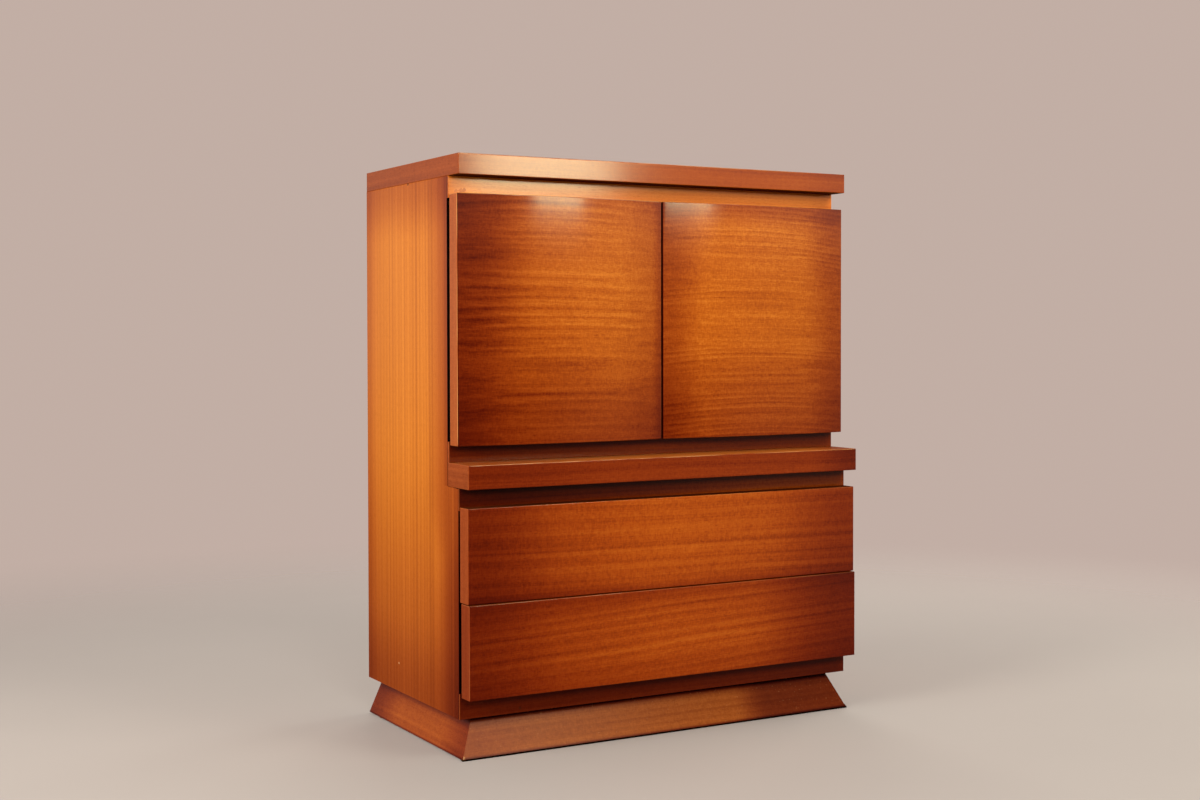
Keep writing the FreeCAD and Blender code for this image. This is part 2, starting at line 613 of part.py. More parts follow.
def hinge_leaf(label, pin_place, side, plate_front, first_knuckle):
    """A plate with every other knuckle of a hinge: right of the pin, or left of it where side is -1."""
    body = new_body(label, pin_place)
    plate_length = f"{side} * (dim.leaf_width - {LEAF_START})"
    plate = rectangle(f"{side} * {LEAF_START}", plate_front, plate_length, "dim.leaf_thickness")
    pad(body, outline(body, f"{label}_plate", "XY_Plane", plate), HINGE_LENGTH)
    knuckle_low = f"{first_knuckle} * {KNUCKLE} + dim.knuckle_gap / 2"
    knuckle_length = f"{KNUCKLE} - dim.knuckle_gap"
    tab = rectangle("0", plate_front, f"{side} * {LEAF_START}", "dim.leaf_thickness")
    web = pad(body, outline(body, f"{label}_tab", "XY_Plane", tab, knuckle_low), knuckle_length)
    barrel = raised_disc(body, f"{label}_barrel", knuckle_low, "dim.barrel_diameter", knuckle_length)
    knuckles = body.newObject("PartDesign::LinearPattern", f"{label}_knuckles")
    knuckles.Originals = [web, barrel]
    knuckles.Direction = (origin_feature(body, "Z_Axis"), [""])
    knuckles.setExpression("Length", f"{2 * (KNUCKLE_PAIRS - 1)} * {KNUCKLE}")
    knuckles.Occurrences = KNUCKLE_PAIRS
    body.Tip = knuckles
    pin_hole = "dim.pin_diameter + 2 * dim.running_fit"
    drill(body, f"{label}_pin_hole", "XY_Plane", [("0", "0")], pin_hole, HINGE_LENGTH, "0", True)
    centres = [(f"{side} * {LEAF_MIDDLE}", level) for level in SCREW_LEVELS]
    face = f"-({plate_front})"
    drill(body, f"{label}_screw_holes", "XZ_Plane", centres, HINGE_HOLE, "dim.leaf_thickness", face)
    nodes.append(body)


hinge_pin_profile = [
    ("0", "0"),
    ("dim.pin_diameter / 2", "0"),
    ("dim.pin_diameter / 2", HINGE_LENGTH),
    ("0", HINGE_LENGTH),
]
hinge_screw_profile = headed_profile(
    "dim.hinge_screw", "dim.hinge_screw_length", "dim.hinge_screw_head", "dim.screw_head_height"
)
case_plate = f"({PIN_FROM_LEAF} - dim.leaf_thickness)"
door_plate = f"-{PIN_FROM_LEAF}"
for side, sign in (("left", 1), ("right", -1)):
    pin_across = f"{sign} * ({PIN_FROM_SIDE} - {HALF})"
    pin_place = (pin_across, Y_PIN, Z_HINGE)
    hinge_leaf(f"{side}_hinge_case_leaf", pin_place, sign, case_plate, 0)
    hinge_leaf(f"{side}_hinge_door_leaf", pin_place, sign, door_plate, 1)
    nodes.append(turned(f"{side}_hinge_pin", pin_place, UP, hinge_pin_profile))
    leaf_faces = [
        ("case", f"{Y_PIN} + {case_plate}", BACKWARD),
        ("door", f"{Y_PIN} - {case_plate}", FORWARD),
    ]
    for leaf, head_seat, inwards in leaf_faces:
        screws = []
        for index, level in enumerate(SCREW_LEVELS):
            place = (f"{pin_across} + {sign} * {LEAF_MIDDLE}", head_seat, f"{Z_HINGE} + {level}")
            screws.append(turned(f"{side}_{leaf}_screw_{index}", place, inwards, hinge_screw_profile))
        group(f"{side}_hinge_{leaf}_screws", screws)

# Magnetic catches under the top rail, and their strikes on the doors
catch_low = f"{Z_HEAD} - dim.catch_height"
for side, left in (("left", "-(dim.catch_offset + dim.catch_length)"), ("right", "dim.catch_offset")):
    board(
        f"{side}_catch",
        (left, f"{Y_DOOR} + dim.strike_thickness + dim.catch_gap", catch_low),
        ("dim.catch_length", "dim.catch_depth", "dim.catch_height"),
    )
    board(
        f"{side}_strike",
        (left, Y_DOOR, catch_low),
        ("dim.catch_length", "dim.strike_thickness", "dim.catch_height"),
    )

# Drawers and their runners

box_half = f"({INNER} - dim.box_gap)"
box_inner_half = f"({box_half} - dim.box_wall)"
groove_depth = "(dim.runner_width - dim.box_gap + dim.runner_side_play)"
back_lift = "(dim.bottom_lift + dim.drawer_bottom)"
screw_columns = [
    f"dim.front_screw_side - {box_inner_half}",
    f"{box_inner_half} - dim.front_screw_side",
]
box_lift = "(dim.front_overlap + dim.box_clearance)"
front_screw_profile = headed_profile(
    "dim.front_screw", "dim.front_screw_length", "dim.front_screw_head", "dim.screw_head_height"
)


def drawer(name, front_low, front_height, pulled_out):
    """A thick overlay front screwed to a grooved box of five boards."""
    box_front = f"({Y_LOWER} - {pulled_out})"
    box_low = f"({front_low} + {box_lift})"
    box_height = f"({front_height} - 2 * {box_lift})"
    screw_rows = ["dim.front_screw_edge", f"{box_height} - dim.front_screw_edge"]
    groove = ("dim.bottom_groove", "dim.box_depth", "dim.drawer_bottom")
    runner_groove = (groove_depth, "dim.box_depth", "(dim.runner_height + dim.runner_play)")
    runner_groove_low = "dim.runner_lift - dim.runner_play"
    screw_hole = "dim.front_screw + 2 * dim.seat_fit"
    places = [(across, along) for across in screw_columns for along in screw_rows]

    front = board(
        f"{name}_front",
        (f"dim.front_inset - {HALF}", f"{box_front} - dim.front_thickness", front_low),
        ("dim.case_width - 2 * dim.front_inset", "dim.front_thickness", front_height),
    )
    round_arrises(front)
    front_middle = f"({HALF} - dim.front_inset)"
    front_holes = [(f"{front_middle} + {across}", f"{box_lift} + {along}") for across, along in places]
    pilot_depth = "dim.front_screw_length - dim.box_front_wall + dim.hole_spare"
    front_back = "-dim.front_thickness"
    hole_name = f"{name}_front_holes"
    drill(front, hole_name, "XZ_Plane", front_holes, screw_hole, pilot_depth, front_back, True)

    inner_front = board(
        f"{name}_box_front",
        (f"-{box_inner_half}", box_front, box_low),
        (f"2 * {box_inner_half}", "dim.box_front_wall", box_height),
    )
    groove_corner = ("0", "dim.box_front_wall - dim.bottom_groove", "dim.bottom_lift")
    groove_size = (f"2 * {box_inner_half}", "dim.bottom_groove", "dim.drawer_bottom")
    cut_box(inner_front, f"{name}_box_front_groove", groove_corner, groove_size)
    inner_holes = [(f"{box_inner_half} + {across}", along) for across, along in places]
    drill(inner_front, f"{name}_box_front_holes", "XZ_Plane", inner_holes, screw_hole, "dim.box_front_wall")

    wall_size = ("dim.box_wall", "dim.box_depth", box_height)
    left_wall = board(f"{name}_left_side", (f"-{box_half}", box_front, box_low), wall_size)
    cut_box(left_wall, f"{name}_left_runner_groove", ("0", "0", runner_groove_low), runner_groove)
    inner_groove = ("dim.box_wall - dim.bottom_groove", "0", "dim.bottom_lift")
    cut_box(left_wall, f"{name}_left_bottom_groove", inner_groove, groove)
    right_wall = board(f"{name}_right_side", (box_inner_half, box_front, box_low), wall_size)
    outer_groove = (f"dim.box_wall - {groove_depth}", "0", runner_groove_low)
    cut_box(right_wall, f"{name}_right_runner_groove", outer_groove, runner_groove)
    cut_box(right_wall, f"{name}_right_bottom_groove", ("0", "0", "dim.bottom_lift"), groove)

    board(
        f"{name}_back",
        (f"-{box_inner_half}", f"{box_front} + dim.box_depth - dim.box_wall", f"{box_low} + {back_lift}"),
        (f"2 * {box_inner_half}", "dim.box_wall", f"{box_height} - {back_lift} - dim.box_back_drop"),
    )
    bottom_front = "dim.box_front_wall - dim.bottom_groove"
    board(
        f"{name}_bottom",
        (
            f"-({box_inner_half} + dim.bottom_groove)",
            f"{box_front} + {bottom_front}",
            f"{box_low} + dim.bottom_lift",
        ),
        (
            f"2 * ({box_inner_half} + dim.bottom_groove)",
            f"dim.box_depth - ({bottom_front})",
            "dim.drawer_bottom",
        ),
    )
    screws = []
    for index, (across, along) in enumerate(places):
        place = (across, f"{box_front} + dim.box_front_wall", f"{box_low} + {along}")
        screws.append(turned(f"{name}_screw_{index}", place, FORWARD, front_screw_profile))
    group(f"{name}_screws", screws)


def runners(level, front_low):
    """The two strips that a drawer hangs on, fixed to the side panels."""
    size = (
        "dim.runner_width",
        f"{Y_PANEL} - {Y_LOWER} - dim.rail_thickness",
        "dim.runner_height",
    )
    front = f"{Y_LOWER} + dim.rail_thickness"
    low = f"{front_low} + {box_lift} + dim.runner_lift"
    board(f"{level}_left_runner", (f"-{INNER}", front, low), size)
    board(f"{level}_right_runner", (f"{INNER} - dim.runner_width", front, low), size)


drawer("upper_drawer", Z_UPPER_FRONT, "dim.upper_front_height", "0")
drawer("lower_drawer", Z_LOWER_FRONT, "dim.lower_front_height", "dim.lower_rest")
runners("upper", Z_UPPER_FRONT)
runners("lower", Z_LOWER_FRONT)

# Checks before anything is written
doc.recompute()
for item in doc.Objects:
    if "Invalid" in item.State or "Error" in item.State:
        raise RuntimeError(f"{item.Name} failed: {item.State}")
    if item.TypeId == "PartDesign::Pocket" and item.Shape.Volume >= item.BaseFeature.Shape.Volume:
        raise RuntimeError(f"{item.Name} cuts nothing")
for node in nodes:
    if node.Shape.isNull() or not node.Shape.isValid():
        raise RuntimeError(f"{node.Label} has no valid shape")

os.makedirs("parts", exist_ok=True)
for node in nodes:
    node.Shape.exportStep(os.path.join("parts", f"{node.Label}.step"))
    print(node.Label, len(node.Shape.Solids), round(node.Shape.Volume), node.Shape.BoundBox)
print(len(nodes), "nodes")
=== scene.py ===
# %% [markdown]
# # A lacquered bachelor chest
# The object is a tall chest in glossy mahogany: two bowed doors above a thick waist shelf, two wide drawers
# below it, and a plinth whose boards lean outwards. The frame already holds every board in its true place
# and size, so this lesson only dresses it: each show board is made again with soft arrises and real veneer.

# %% Load the fixed frame
import math

import bmesh
import bpy
from mathutils import Matrix, Vector


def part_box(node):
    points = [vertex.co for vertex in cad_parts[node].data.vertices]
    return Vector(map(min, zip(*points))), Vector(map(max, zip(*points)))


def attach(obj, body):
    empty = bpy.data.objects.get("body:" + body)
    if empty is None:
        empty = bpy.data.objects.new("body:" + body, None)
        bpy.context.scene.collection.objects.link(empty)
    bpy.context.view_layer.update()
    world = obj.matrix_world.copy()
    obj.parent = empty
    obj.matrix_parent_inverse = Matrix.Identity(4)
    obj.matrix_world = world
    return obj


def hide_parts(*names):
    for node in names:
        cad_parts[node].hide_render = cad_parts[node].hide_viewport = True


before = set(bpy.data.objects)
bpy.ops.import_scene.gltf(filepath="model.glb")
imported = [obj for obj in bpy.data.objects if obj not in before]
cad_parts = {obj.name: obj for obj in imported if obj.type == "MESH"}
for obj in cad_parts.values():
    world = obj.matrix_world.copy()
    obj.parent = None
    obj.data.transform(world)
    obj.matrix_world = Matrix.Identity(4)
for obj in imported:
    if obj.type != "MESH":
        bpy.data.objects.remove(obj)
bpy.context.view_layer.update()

# %% [markdown]
# ## The camera
# The chest is seen from its left front corner, a little above its waist. The place, turn and lens come from
# fitting the chest's own corners to the picture. The picture is a crop whose optical centre is above its
# middle, and the small downward shift of the lens repeats that crop without bending the uprights.

# %% Set up the camera
CAMERA_PLACE = Vector((-1.9716, -3.4027, 0.8986))
CAMERA_TURN = 0.5177
CAMERA_DIP = 0.0207
CAMERA_ROLL = -0.0018
LENS_MM = 49.73
SENSOR_MM = 36.0
LENS_SHIFT = -0.0260

lens = bpy.data.cameras.new("camera")
lens.lens = LENS_MM
lens.sensor_width = SENSOR_MM
lens.sensor_fit = "HORIZONTAL"
lens.shift_y = LENS_SHIFT
camera = bpy.data.objects.new("camera", lens)
bpy.context.scene.collection.objects.link(camera)
turn = Matrix.Rotation(-CAMERA_TURN, 4, "Z")
dip = Matrix.Rotation(math.pi / 2 - CAMERA_DIP, 4, "X")
roll = Matrix.Rotation(CAMERA_ROLL, 4, "Z")
camera.matrix_world = Matrix.Translation(CAMERA_PLACE) @ turn @ dip @ roll
bpy.context.scene.camera = camera
bpy.context.scene.view_settings.view_transform = "Standard"

# %% [markdown]
# ## Shader maths as plain sums
# Wood figure is built from many thin layers of noise. Adding those layers up node by node is hard to read,
# so one small class wraps a socket: sums and products of wrapped sockets add Math nodes by themselves, and
# any other node comes from a single method.


# %% The socket class
class Layer:
    """One socket in a node tree. Arithmetic on layers adds Math nodes."""

    def __init__(self, tree, socket=None):
        self.tree = tree
        self.socket = socket

    def node(self, kind, settings=None, sockets=None, output=0):
        """Any node: its settings are set first, then the values or links of its sockets."""
        made = self.tree.nodes.new(kind)
        for key, value in (settings or {}).items():
            if key == "stops":
                stops = made.color_ramp.elements
                while len(stops) < len(value):
                    stops.new(1.0)
                for stop, (place, colour) in zip(stops, value):
                    stop.position = place
                    stop.color = (*colour, 1.0)
            else:
                setattr(made, key, value)
        for key, value in (sockets or {}).items():
            if isinstance(value, Layer):
                self.tree.links.new(value.socket, made.inputs[key])
            else:
                made.inputs[key].default_value = value
        return Layer(self.tree, made.outputs[output])

    def maths(self, operation, first, second):
        """One Math node of two values."""
        return self.node("ShaderNodeMath", {"operation": operation}, {0: first, 1: second})

    def __add__(self, other):
        return self.maths("ADD", self, other)

    def __radd__(self, other):
        return self.maths("ADD", other, self)

    def __sub__(self, other):
        return self.maths("SUBTRACT", self, other)

    def __rsub__(self, other):
        return self.maths("SUBTRACT", other, self)

    def __mul__(self, other):
        return self.maths("MULTIPLY", self, other)

    def __rmul__(self, other):
        return self.maths("MULTIPLY", other, self)

    def least(self, other):
        return self.maths("MINIMUM", self, other)

    def most(self, other):
        return self.maths("MAXIMUM", self, other)

    def between(self, low, high):
        """0 below low, 1 above high, with a soft step in between."""
        settings = {"interpolation_type": "SMOOTHSTEP"}
        return self.node("ShaderNodeMapRange", settings, {"Value": self, "From Min": low, "From Max": high})

    def parts(self):
        """The three coordinates of a vector layer."""
        made = self.tree.nodes.new("ShaderNodeSeparateXYZ")
        self.tree.links.new(self.socket, made.inputs[0])
        return [Layer(self.tree, out) for out in made.outputs]


MIX_FACTOR, MIX_FIRST, MIX_SECOND, MIX_RESULT = 0, 6, 7, 2
SKY_DIRECTION, OBJECT_PLACE = 0, 3
NOISE_COLOUR = 1
VECTOR_NUMBER = 1


def mixed(amount, first, second, blend="MIX"):
    """Two colours mixed by a layer or by a plain number."""
    maker = next(value for value in (amount, first, second) if isinstance(value, Layer))
    sockets = {MIX_FACTOR: amount, MIX_FIRST: opaque(first), MIX_SECOND: opaque(second)}
    return maker.node("ShaderNodeMix", {"data_type": "RGBA", "blend_type": blend}, sockets, MIX_RESULT)


def opaque(colour):
    """A colour as a Mix socket takes it."""
    return colour if isinstance(colour, Layer) else (*colour, 1.0)


print("shader class ready")

# %% [markdown]
# ## The room: floor, wall light and lamps
# A lacquered chest shows the room in its gloss, so the room is part of its look. Behind the chest stands a
# pale warm-grey glow, in front the room is dim near the floor and lighter above. A world that changes with
# direction gives both with no extra objects, and the camera itself sees one plain backdrop tone.

# %% Paint the world
BACKDROP = (0.54, 0.425, 0.375)
WALL_GLOW = (0.27, 0.24, 0.22)
WALL_FOOT = (0.07, 0.045, 0.03)
ROOM_HIGH = (0.58, 0.50, 0.38)
ROOM_HIGH_RIGHT = (1.05, 1.02, 0.92)
ROOM_WINDOW = (1.15, 1.05, 0.80)
ROOM_CEILING = (0.07, 0.055, 0.04)
ROOM_LEVEL = (0.05, 0.035, 0.022)
ROOM_LOW = (0.02, 0.012, 0.008)
ROOM_RIGHT = (0.19, 0.16, 0.125)
LEVEL_BAND = (-0.10, 0.02)
RIGHT_BAND, RIGHT_SPAN = (-0.26, -0.12), (0.36, 0.62)
HIGH_BAND, HIGH_RIGHT_SPAN = (0.02, 0.13), (0.42, 0.60)
CEILING_BAND = (0.28, 0.40)
WINDOW_SILL, WINDOW_HEAD = (0.38, 0.46), (0.56, 0.62)
WINDOW_LEFT, WINDOW_RIGHT = (0.30, 0.36), (0.43, 0.53)
WALL_BAND = (-0.12, 0.06)
FRONT_TO_BACK = (-0.25, 0.25)

world = bpy.data.worlds.new("studio")
world.use_nodes = True
bpy.context.scene.world = world
world.node_tree.nodes.clear()
air = Layer(world.node_tree)
across, depth, height = air.node("ShaderNodeTexCoord", output=SKY_DIRECTION).parts()
in_front = mixed(height.between(*LEVEL_BAND), ROOM_LOW, ROOM_LEVEL)
in_front = mixed(height.between(*RIGHT_BAND) * across.between(*RIGHT_SPAN), in_front, ROOM_RIGHT)
upper_room = mixed(across.between(*HIGH_RIGHT_SPAN), ROOM_HIGH, ROOM_HIGH_RIGHT)
in_front = mixed(height.between(*HIGH_BAND), in_front, upper_room)
in_front = mixed(height.between(*CEILING_BAND), in_front, ROOM_CEILING)
window = height.between(*WINDOW_SILL) * (1.0 - height.between(*WINDOW_HEAD))
window = window * across.between(*WINDOW_LEFT) * (1.0 - across.between(*WINDOW_RIGHT))
in_front = mixed(window, in_front, ROOM_WINDOW)
behind = mixed(height.between(*WALL_BAND), WALL_FOOT, WALL_GLOW)
light = mixed(depth.between(*FRONT_TO_BACK), in_front, behind)
camera_ray = air.node("ShaderNodeLightPath", output=0)
seen = mixed(camera_ray, light, BACKDROP)
glow = air.node("ShaderNodeBackground", sockets={"Color": seen, "Strength": 1.0})
output = world.node_tree.nodes.new("ShaderNodeOutputWorld")
world.node_tree.links.new(glow.socket, output.inputs["Surface"])
print("world painted")

# %% [markdown]
# Soft boxes light the chest as in a studio. A small one in front on the right makes the glow at the top of
# the doors, and wide ones on every side keep the flanks and the back readable. Only the two that shape the
# gloss are seen in it, so that the others leave no bright patches on the flat tops.

# %% Hang the lamps
WARM_WHITE = (1.0, 0.88, 0.64)
CREAM = (1.0, 0.98, 0.60)
LAMPS = {
    "key_softbox": {
        "place": (1.62, -3.88, 1.762), "aim": (1.46, 0.0, 1.762), "size": (0.72, 0.49), "watts": 19.2,
        "tint": CREAM,
    },
    "high_softbox": {"place": (1.5, -3.0, 3.2), "aim": (0.1, 0.0, 0.7), "size": (1.6, 1.0), "watts": 62},
    "front_softbox": {"place": (-1.35, -4.1, 2.15), "aim": (0.0, 0.0, 1.5), "size": (1.3, 1.2), "watts": 88},
    "side_softbox": {"place": (-4.0, -0.9, 2.1), "aim": (-0.4, 0.0, 0.75), "size": (2.0, 2.4), "watts": 235},
    "overhead_softbox": {"place": (0.0, -1.0, 4.2), "aim": (0.0, 0.0, 0.6), "size": (3.0, 1.8), "watts": 20},
    "right_softbox": {"place": (4.2, 0.9, 2.0), "aim": (0.4, 0.1, 0.7), "size": (2.0, 2.4), "watts": 120},
    "rear_softbox": {"place": (1.8, 3.8, 3.2), "aim": (0.0, 0.2, 0.6), "size": (2.4, 1.6), "watts": 110},
}
GLOSS_LAMPS = ("key_softbox", "high_softbox")

for name, lamp in LAMPS.items():
    light_data = bpy.data.lights.new(name, "AREA")
    light_data.shape = "RECTANGLE"
    light_data.size, light_data.size_y = lamp["size"]
    light_data.energy = lamp["watts"]
    light_data.color = lamp.get("tint", WARM_WHITE)
    holder = bpy.data.objects.new(name, light_data)
    holder.location = lamp["place"]
    aim = Vector(lamp["aim"]) - Vector(lamp["place"])
    holder.rotation_euler = aim.to_track_quat("-Z", "Y").to_euler()
    holder.visible_camera = False
    holder.visible_glossy = name in GLOSS_LAMPS
    bpy.context.scene.collection.objects.link(holder)
print(len(LAMPS), "lamps hung")

# %% [markdown]
# ## Shaping helpers
# Almost every piece is a board. A board is a cube stretched to its box, or a flat outline pulled through
# its thickness. Most boards then have their arrises rounded a little, because finished furniture seldom has
# a razor edge. Weighted normals keep the broad faces optically flat while the narrow rounds stay smooth.

# %% Make boards and pieces
ARRIS = 0.0015
ARRIS_STEPS = 3
SHARP_ANGLE = 0.5
FULL_WEIGHT = 100


def block(low, high):
    """A plain box between two corners."""
    shape = bmesh.new()
    bmesh.ops.create_cube(shape, size=1.0)
    bmesh.ops.scale(shape, vec=high - low, verts=shape.verts)
    bmesh.ops.translate(shape, vec=(low + high) / 2, verts=shape.verts)
    return shape


def pulled(outline, run):
    """A flat outline of points pulled along a straight run, closed at both ends."""
    shape = bmesh.new()
    corners = [shape.verts.new(point) for point in outline]
    sheet = shape.faces.new(corners)
    moved = bmesh.ops.extrude_face_region(shape, geom=[sheet])["geom"]
    far_side = [part for part in moved if isinstance(part, bmesh.types.BMVert)]
    bmesh.ops.translate(shape, vec=run, verts=far_side)
    bmesh.ops.recalc_face_normals(shape, faces=shape.faces)
    return shape


def soften(shape, radius=ARRIS, steps=ARRIS_STEPS):
    """Rounds every edge that turns by more than the sharp angle."""
    edges = [edge for edge in shape.edges if edge.calc_face_angle(0.0) > SHARP_ANGLE]
    bmesh.ops.bevel(
        shape, geom=edges, offset=radius, offset_type="OFFSET", segments=steps,
        profile=0.5, affect="EDGES", material=-1, clamp_overlap=True,
    )


def add_piece(name, shape, materials, body, nodes, paint=None):
    """Turns a bmesh into a finished piece that rides on a body and stands for its CAD nodes."""
    for face in shape.faces:
        face.smooth = True
        face.material_index = paint(face) if paint else 0
    mesh = bpy.data.meshes.new(name)
    shape.to_mesh(mesh)
    shape.free()
    for material in materials:
        mesh.materials.append(material)
    piece = bpy.data.objects.new(name, mesh)
    bpy.context.scene.collection.objects.link(piece)
    weighted = piece.modifiers.new("flat_faces", "WEIGHTED_NORMAL")
    weighted.weight = FULL_WEIGHT
    weighted.keep_sharp = False
    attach(piece, body)
    if nodes:
        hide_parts(*nodes)
    print(name, len(mesh.polygons), "faces")
    return piece


print("shaping helpers ready")

# %% [markdown]
# ## Mahogany
# The veneer is ribbon-striped mahogany: dark bands about a finger apart that taper out along the grain, finer
# threads between them, short flecks, and pores too fine to see from afar. A solid noise stretched along the
# grain gives each of these. The finisher also shaded each panel darker and redder towards its edges, and
# years of handling paled the arrises, so both are driven by the distance to the piece's own box. The same
# darkening by distance also paints shade where little light reaches: in recesses, under overhangs and in
# gaps.

# %% Grain layers
X, Y, Z = 0, 1, 2
AXES = (X, Y, Z)


def stretched(place, grain, length, width):
    """Coordinates squeezed so that noise comes out long along the grain and narrow across it."""
    scale = [1.0 / width] * 3
    scale[grain] = 1.0 / length
    return place.node("ShaderNodeVectorMath", {"operation": "MULTIPLY"}, {0: place, 1: scale})


def noise(place, grain, length, width, detail=1.0, roughness=0.5):
    """Noise of a given length along the grain and width across it, about 0 on average."""
    sockets = {
        "Vector": stretched(place, grain, length, width),
        "Scale": 1.0,
        "Detail": detail,
        "Roughness": roughness,
    }
    return place.node("ShaderNodeTexNoise", {"noise_dimensions": "3D"}, sockets) - 0.5


def edge_distance(place, low, high):
    """The distance to the nearest face, along each axis, inside a box."""
    return [
        (part - low[axis]).least(high[axis] - part)
        for axis, part in zip(AXES, place.parts())
    ]


def middle_of(first, second, third):
    """The middle one of three layers."""
    return first.least(second).most(first.most(second).least(third))


print("grain helpers ready")

# %% [markdown]
# Ribbon figure comes from grain that leans one way and then the other as the tree grew. Sawn on the quarter
# it shows as stripes. A sine wave with a wandering phase gives the stripes, and long thin noises the rest.

# %% Ribbon figure
STRIPE_PITCH = 0.023
GRAIN_WANDER = 0.012
RIBBON, BAND, THREAD, STRIPE = 0.34, 0.20, 0.24, 0.085
SWAY_LENGTH, SWAY_WIDTH = 0.60, 0.14
PHASE_WANDER, PHASE_LENGTH, PHASE_WIDTH = 8.0, 1.4, 0.07
SECOND_WAVE = 0.35
STRONG_LENGTH, STRONG_WIDTH, STRONG_BAND = 0.8, 0.05, (-0.15, 0.12)
RIBBON_SIZE, BAND_SIZE, THREAD_SIZE, SWELL_SIZE = (1.3, 0.013), (0.8, 0.0058), (0.45, 0.0024), (1.6, 0.045)


def bent_grain(mapped, grain, run, wander):
    """Coordinates pushed aside a little, so that no line of the figure runs quite straight."""
    sockets = {"Vector": stretched(mapped, grain, SWAY_LENGTH * run, SWAY_WIDTH), "Scale": 1.0, "Detail": 1.0}
    sway = mapped.node("ShaderNodeTexNoise", {"noise_dimensions": "3D"}, sockets, NOISE_COLOUR)
    push = {0: sway, 1: [GRAIN_WANDER * wander] * 3, 2: mapped}
    return mapped.node("ShaderNodeVectorMath", {"operation": "MULTIPLY_ADD"}, push)


def ribbon_figure(bent, grain, run, pitch, broad):
    """Dark and light ribbons a finger apart, with finer bands and threads between them."""
    across = [part for axis, part in zip(AXES, bent.parts()) if axis != grain]
    wandering = PHASE_WANDER * noise(bent, grain, PHASE_LENGTH * run, PHASE_WIDTH)
    phase = (across[0] + across[1]) * (math.tau / pitch) + wandering
    stripe = phase.maths("SINE", phase, 0.0) + SECOND_WAVE * phase.maths("SINE", 2.0 * phase, 0.0)
    strong = noise(bent, grain, STRONG_LENGTH * run, STRONG_WIDTH).between(*STRONG_BAND)

    def long_noise(size, detail=0.0):
        """Noise of a size given as (length, width), stretched by the run."""
        return noise(bent, grain, size[0] * run, size[1], detail)

    ribbon, band, swell = long_noise(RIBBON_SIZE), long_noise(BAND_SIZE), long_noise(SWELL_SIZE)
    thread = long_noise(THREAD_SIZE, 1.0)
    return STRIPE * stripe * strong + RIBBON * ribbon + BAND * band + THREAD * thread + broad * swell


print("ribbon figure: one stripe every", STRIPE_PITCH, "m")

# %% [markdown]
# The finisher sprayed toner, a thin coloured lacquer, thicker towards the edges. Each thin layer of it takes
# the same share of the light that reaches it, so a film of double depth darkens as the square: the toner's
# colour is raised to the power of the depth. Some of these films are not toner but painted shade, and they
# are marked where they are given. Knocks and nicks are small ragged spots at fixed places.

# %% Toner, wear and marks
TONER_AND_SHADE_TINT = (0.30, 0.127, 0.122)
PALE_ARRIS = (0.66, 0.36, 0.15)
BARE_WOOD = (0.62, 0.40, 0.22)
SMALL_NICK = (0.40, 0.19, 0.080)
DARK_DENT = (0.035, 0.010, 0.004)
FILM_DRIFT = 0.12
MARK_RAGGED, MARK_GRAIN = 2.2, 0.7
MARK_RIM = (0.45, 0.95)


def toner_and_shade_darkened(colour, amount):
    """A colour under a film, which is toner in some places and painted shade in others. One unit of film
    darkens it by the toner's own colour.
    """
    film = amount.node("ShaderNodeGamma", sockets={"Color": opaque(TONER_AND_SHADE_TINT), "Gamma": amount})
    return mixed(1.0, colour, film, "MULTIPLY")


def toner_and_shade_depth(parts, low, high, toner_and_shade, cloud):
    """The thickness of the film of toner and painted shade: each entry is (axis, side, reach in metres, depth
    at the edge, edge).
    """
    depth = 0.0
    for axis, side, reach, amount, *edge in toner_and_shade:
        border = edge[0](parts) if edge else (low if side < 0 else high)[axis]
        away = parts[axis] - border if side < 0 else border - parts[axis]
        depth = depth + amount * (1.0 - (away + FILM_DRIFT * reach * cloud).between(0.0, reach))
    return depth


def marked(colour, place, marks):
    """Small nicks and dents: each entry is (place, radius, colour)."""
    for centre, radius, stain in marks:
        ends = {0: place, 1: centre}
        away = place.node("ShaderNodeVectorMath", {"operation": "DISTANCE"}, ends, VECTOR_NUMBER)
        ragged = away + MARK_RAGGED * radius * noise(place, X, MARK_GRAIN * radius, MARK_GRAIN * radius, 2.0)
        inner, outer = (share * radius for share in MARK_RIM)
        colour = mixed(1.0 - ragged.between(inner, outer), colour, stain)
    return colour


print("toner, wear and marks ready")

# %% [markdown]
# One recipe serves every show board. From the wood outwards: figure and flecks set the tone, pores darken it,
# the film of toner and of painted shade darkens it, handling rubs the arrises pale, and a hard clear coat
# lies over everything. Each board hands in its own box, shades and film.

# %% The mahogany recipe
DEEP = (0.235, 0.032, 0.0022)
BODY = (0.46, 0.112, 0.0078)
GOLD = (0.66, 0.215, 0.0220)
MAIN_SHADES = (DEEP, BODY, GOLD)
COAT = 0.95
SEED_STEPS = (3.7, 5.3, 7.1)
LAYER_SIZES = {
    "mottle": (0.0032, 0.0080, 0.0),
    "ripple": (0.016, 0.012, 1.0),
    "fleck": (0.0080, 0.0019, 1.0),
    "cloud": (0.50, 0.16, 1.0),
    "pore": (0.014, 0.0007, 0.0),
    "patch": (0.09, 0.05, 1.0),
    "nick": (0.0042, 0.0030, 0.0),
}
MOTTLE, RIPPLE, FLECK, CLOUD = 0.27, 0.14, 0.30, 0.12
SHADE_STOPS = (0.14, 0.5, 0.86)
PORE_BAND, PORE_DARK = (0.13, 0.24), 0.5
PATCH_LEVEL, PATCH_SWING, PATCH_BAND = 0.6, 2.4, (0.1, 1.0)
ARRIS_BAND = (0.0004, 0.0024)
BOTTOM_BAND, END_BAND = (0.002, 0.006), (0.003, 0.008)
WEAR_UNDER_FILM = (0.9, 1.4)
NICK_BAND = (0.26, 0.34)
BASE_GLOSS = {"level": 0.42, "cloud": 0.18, "pore": 0.22, "fleck": 0.25, "rubbed": 0.2}
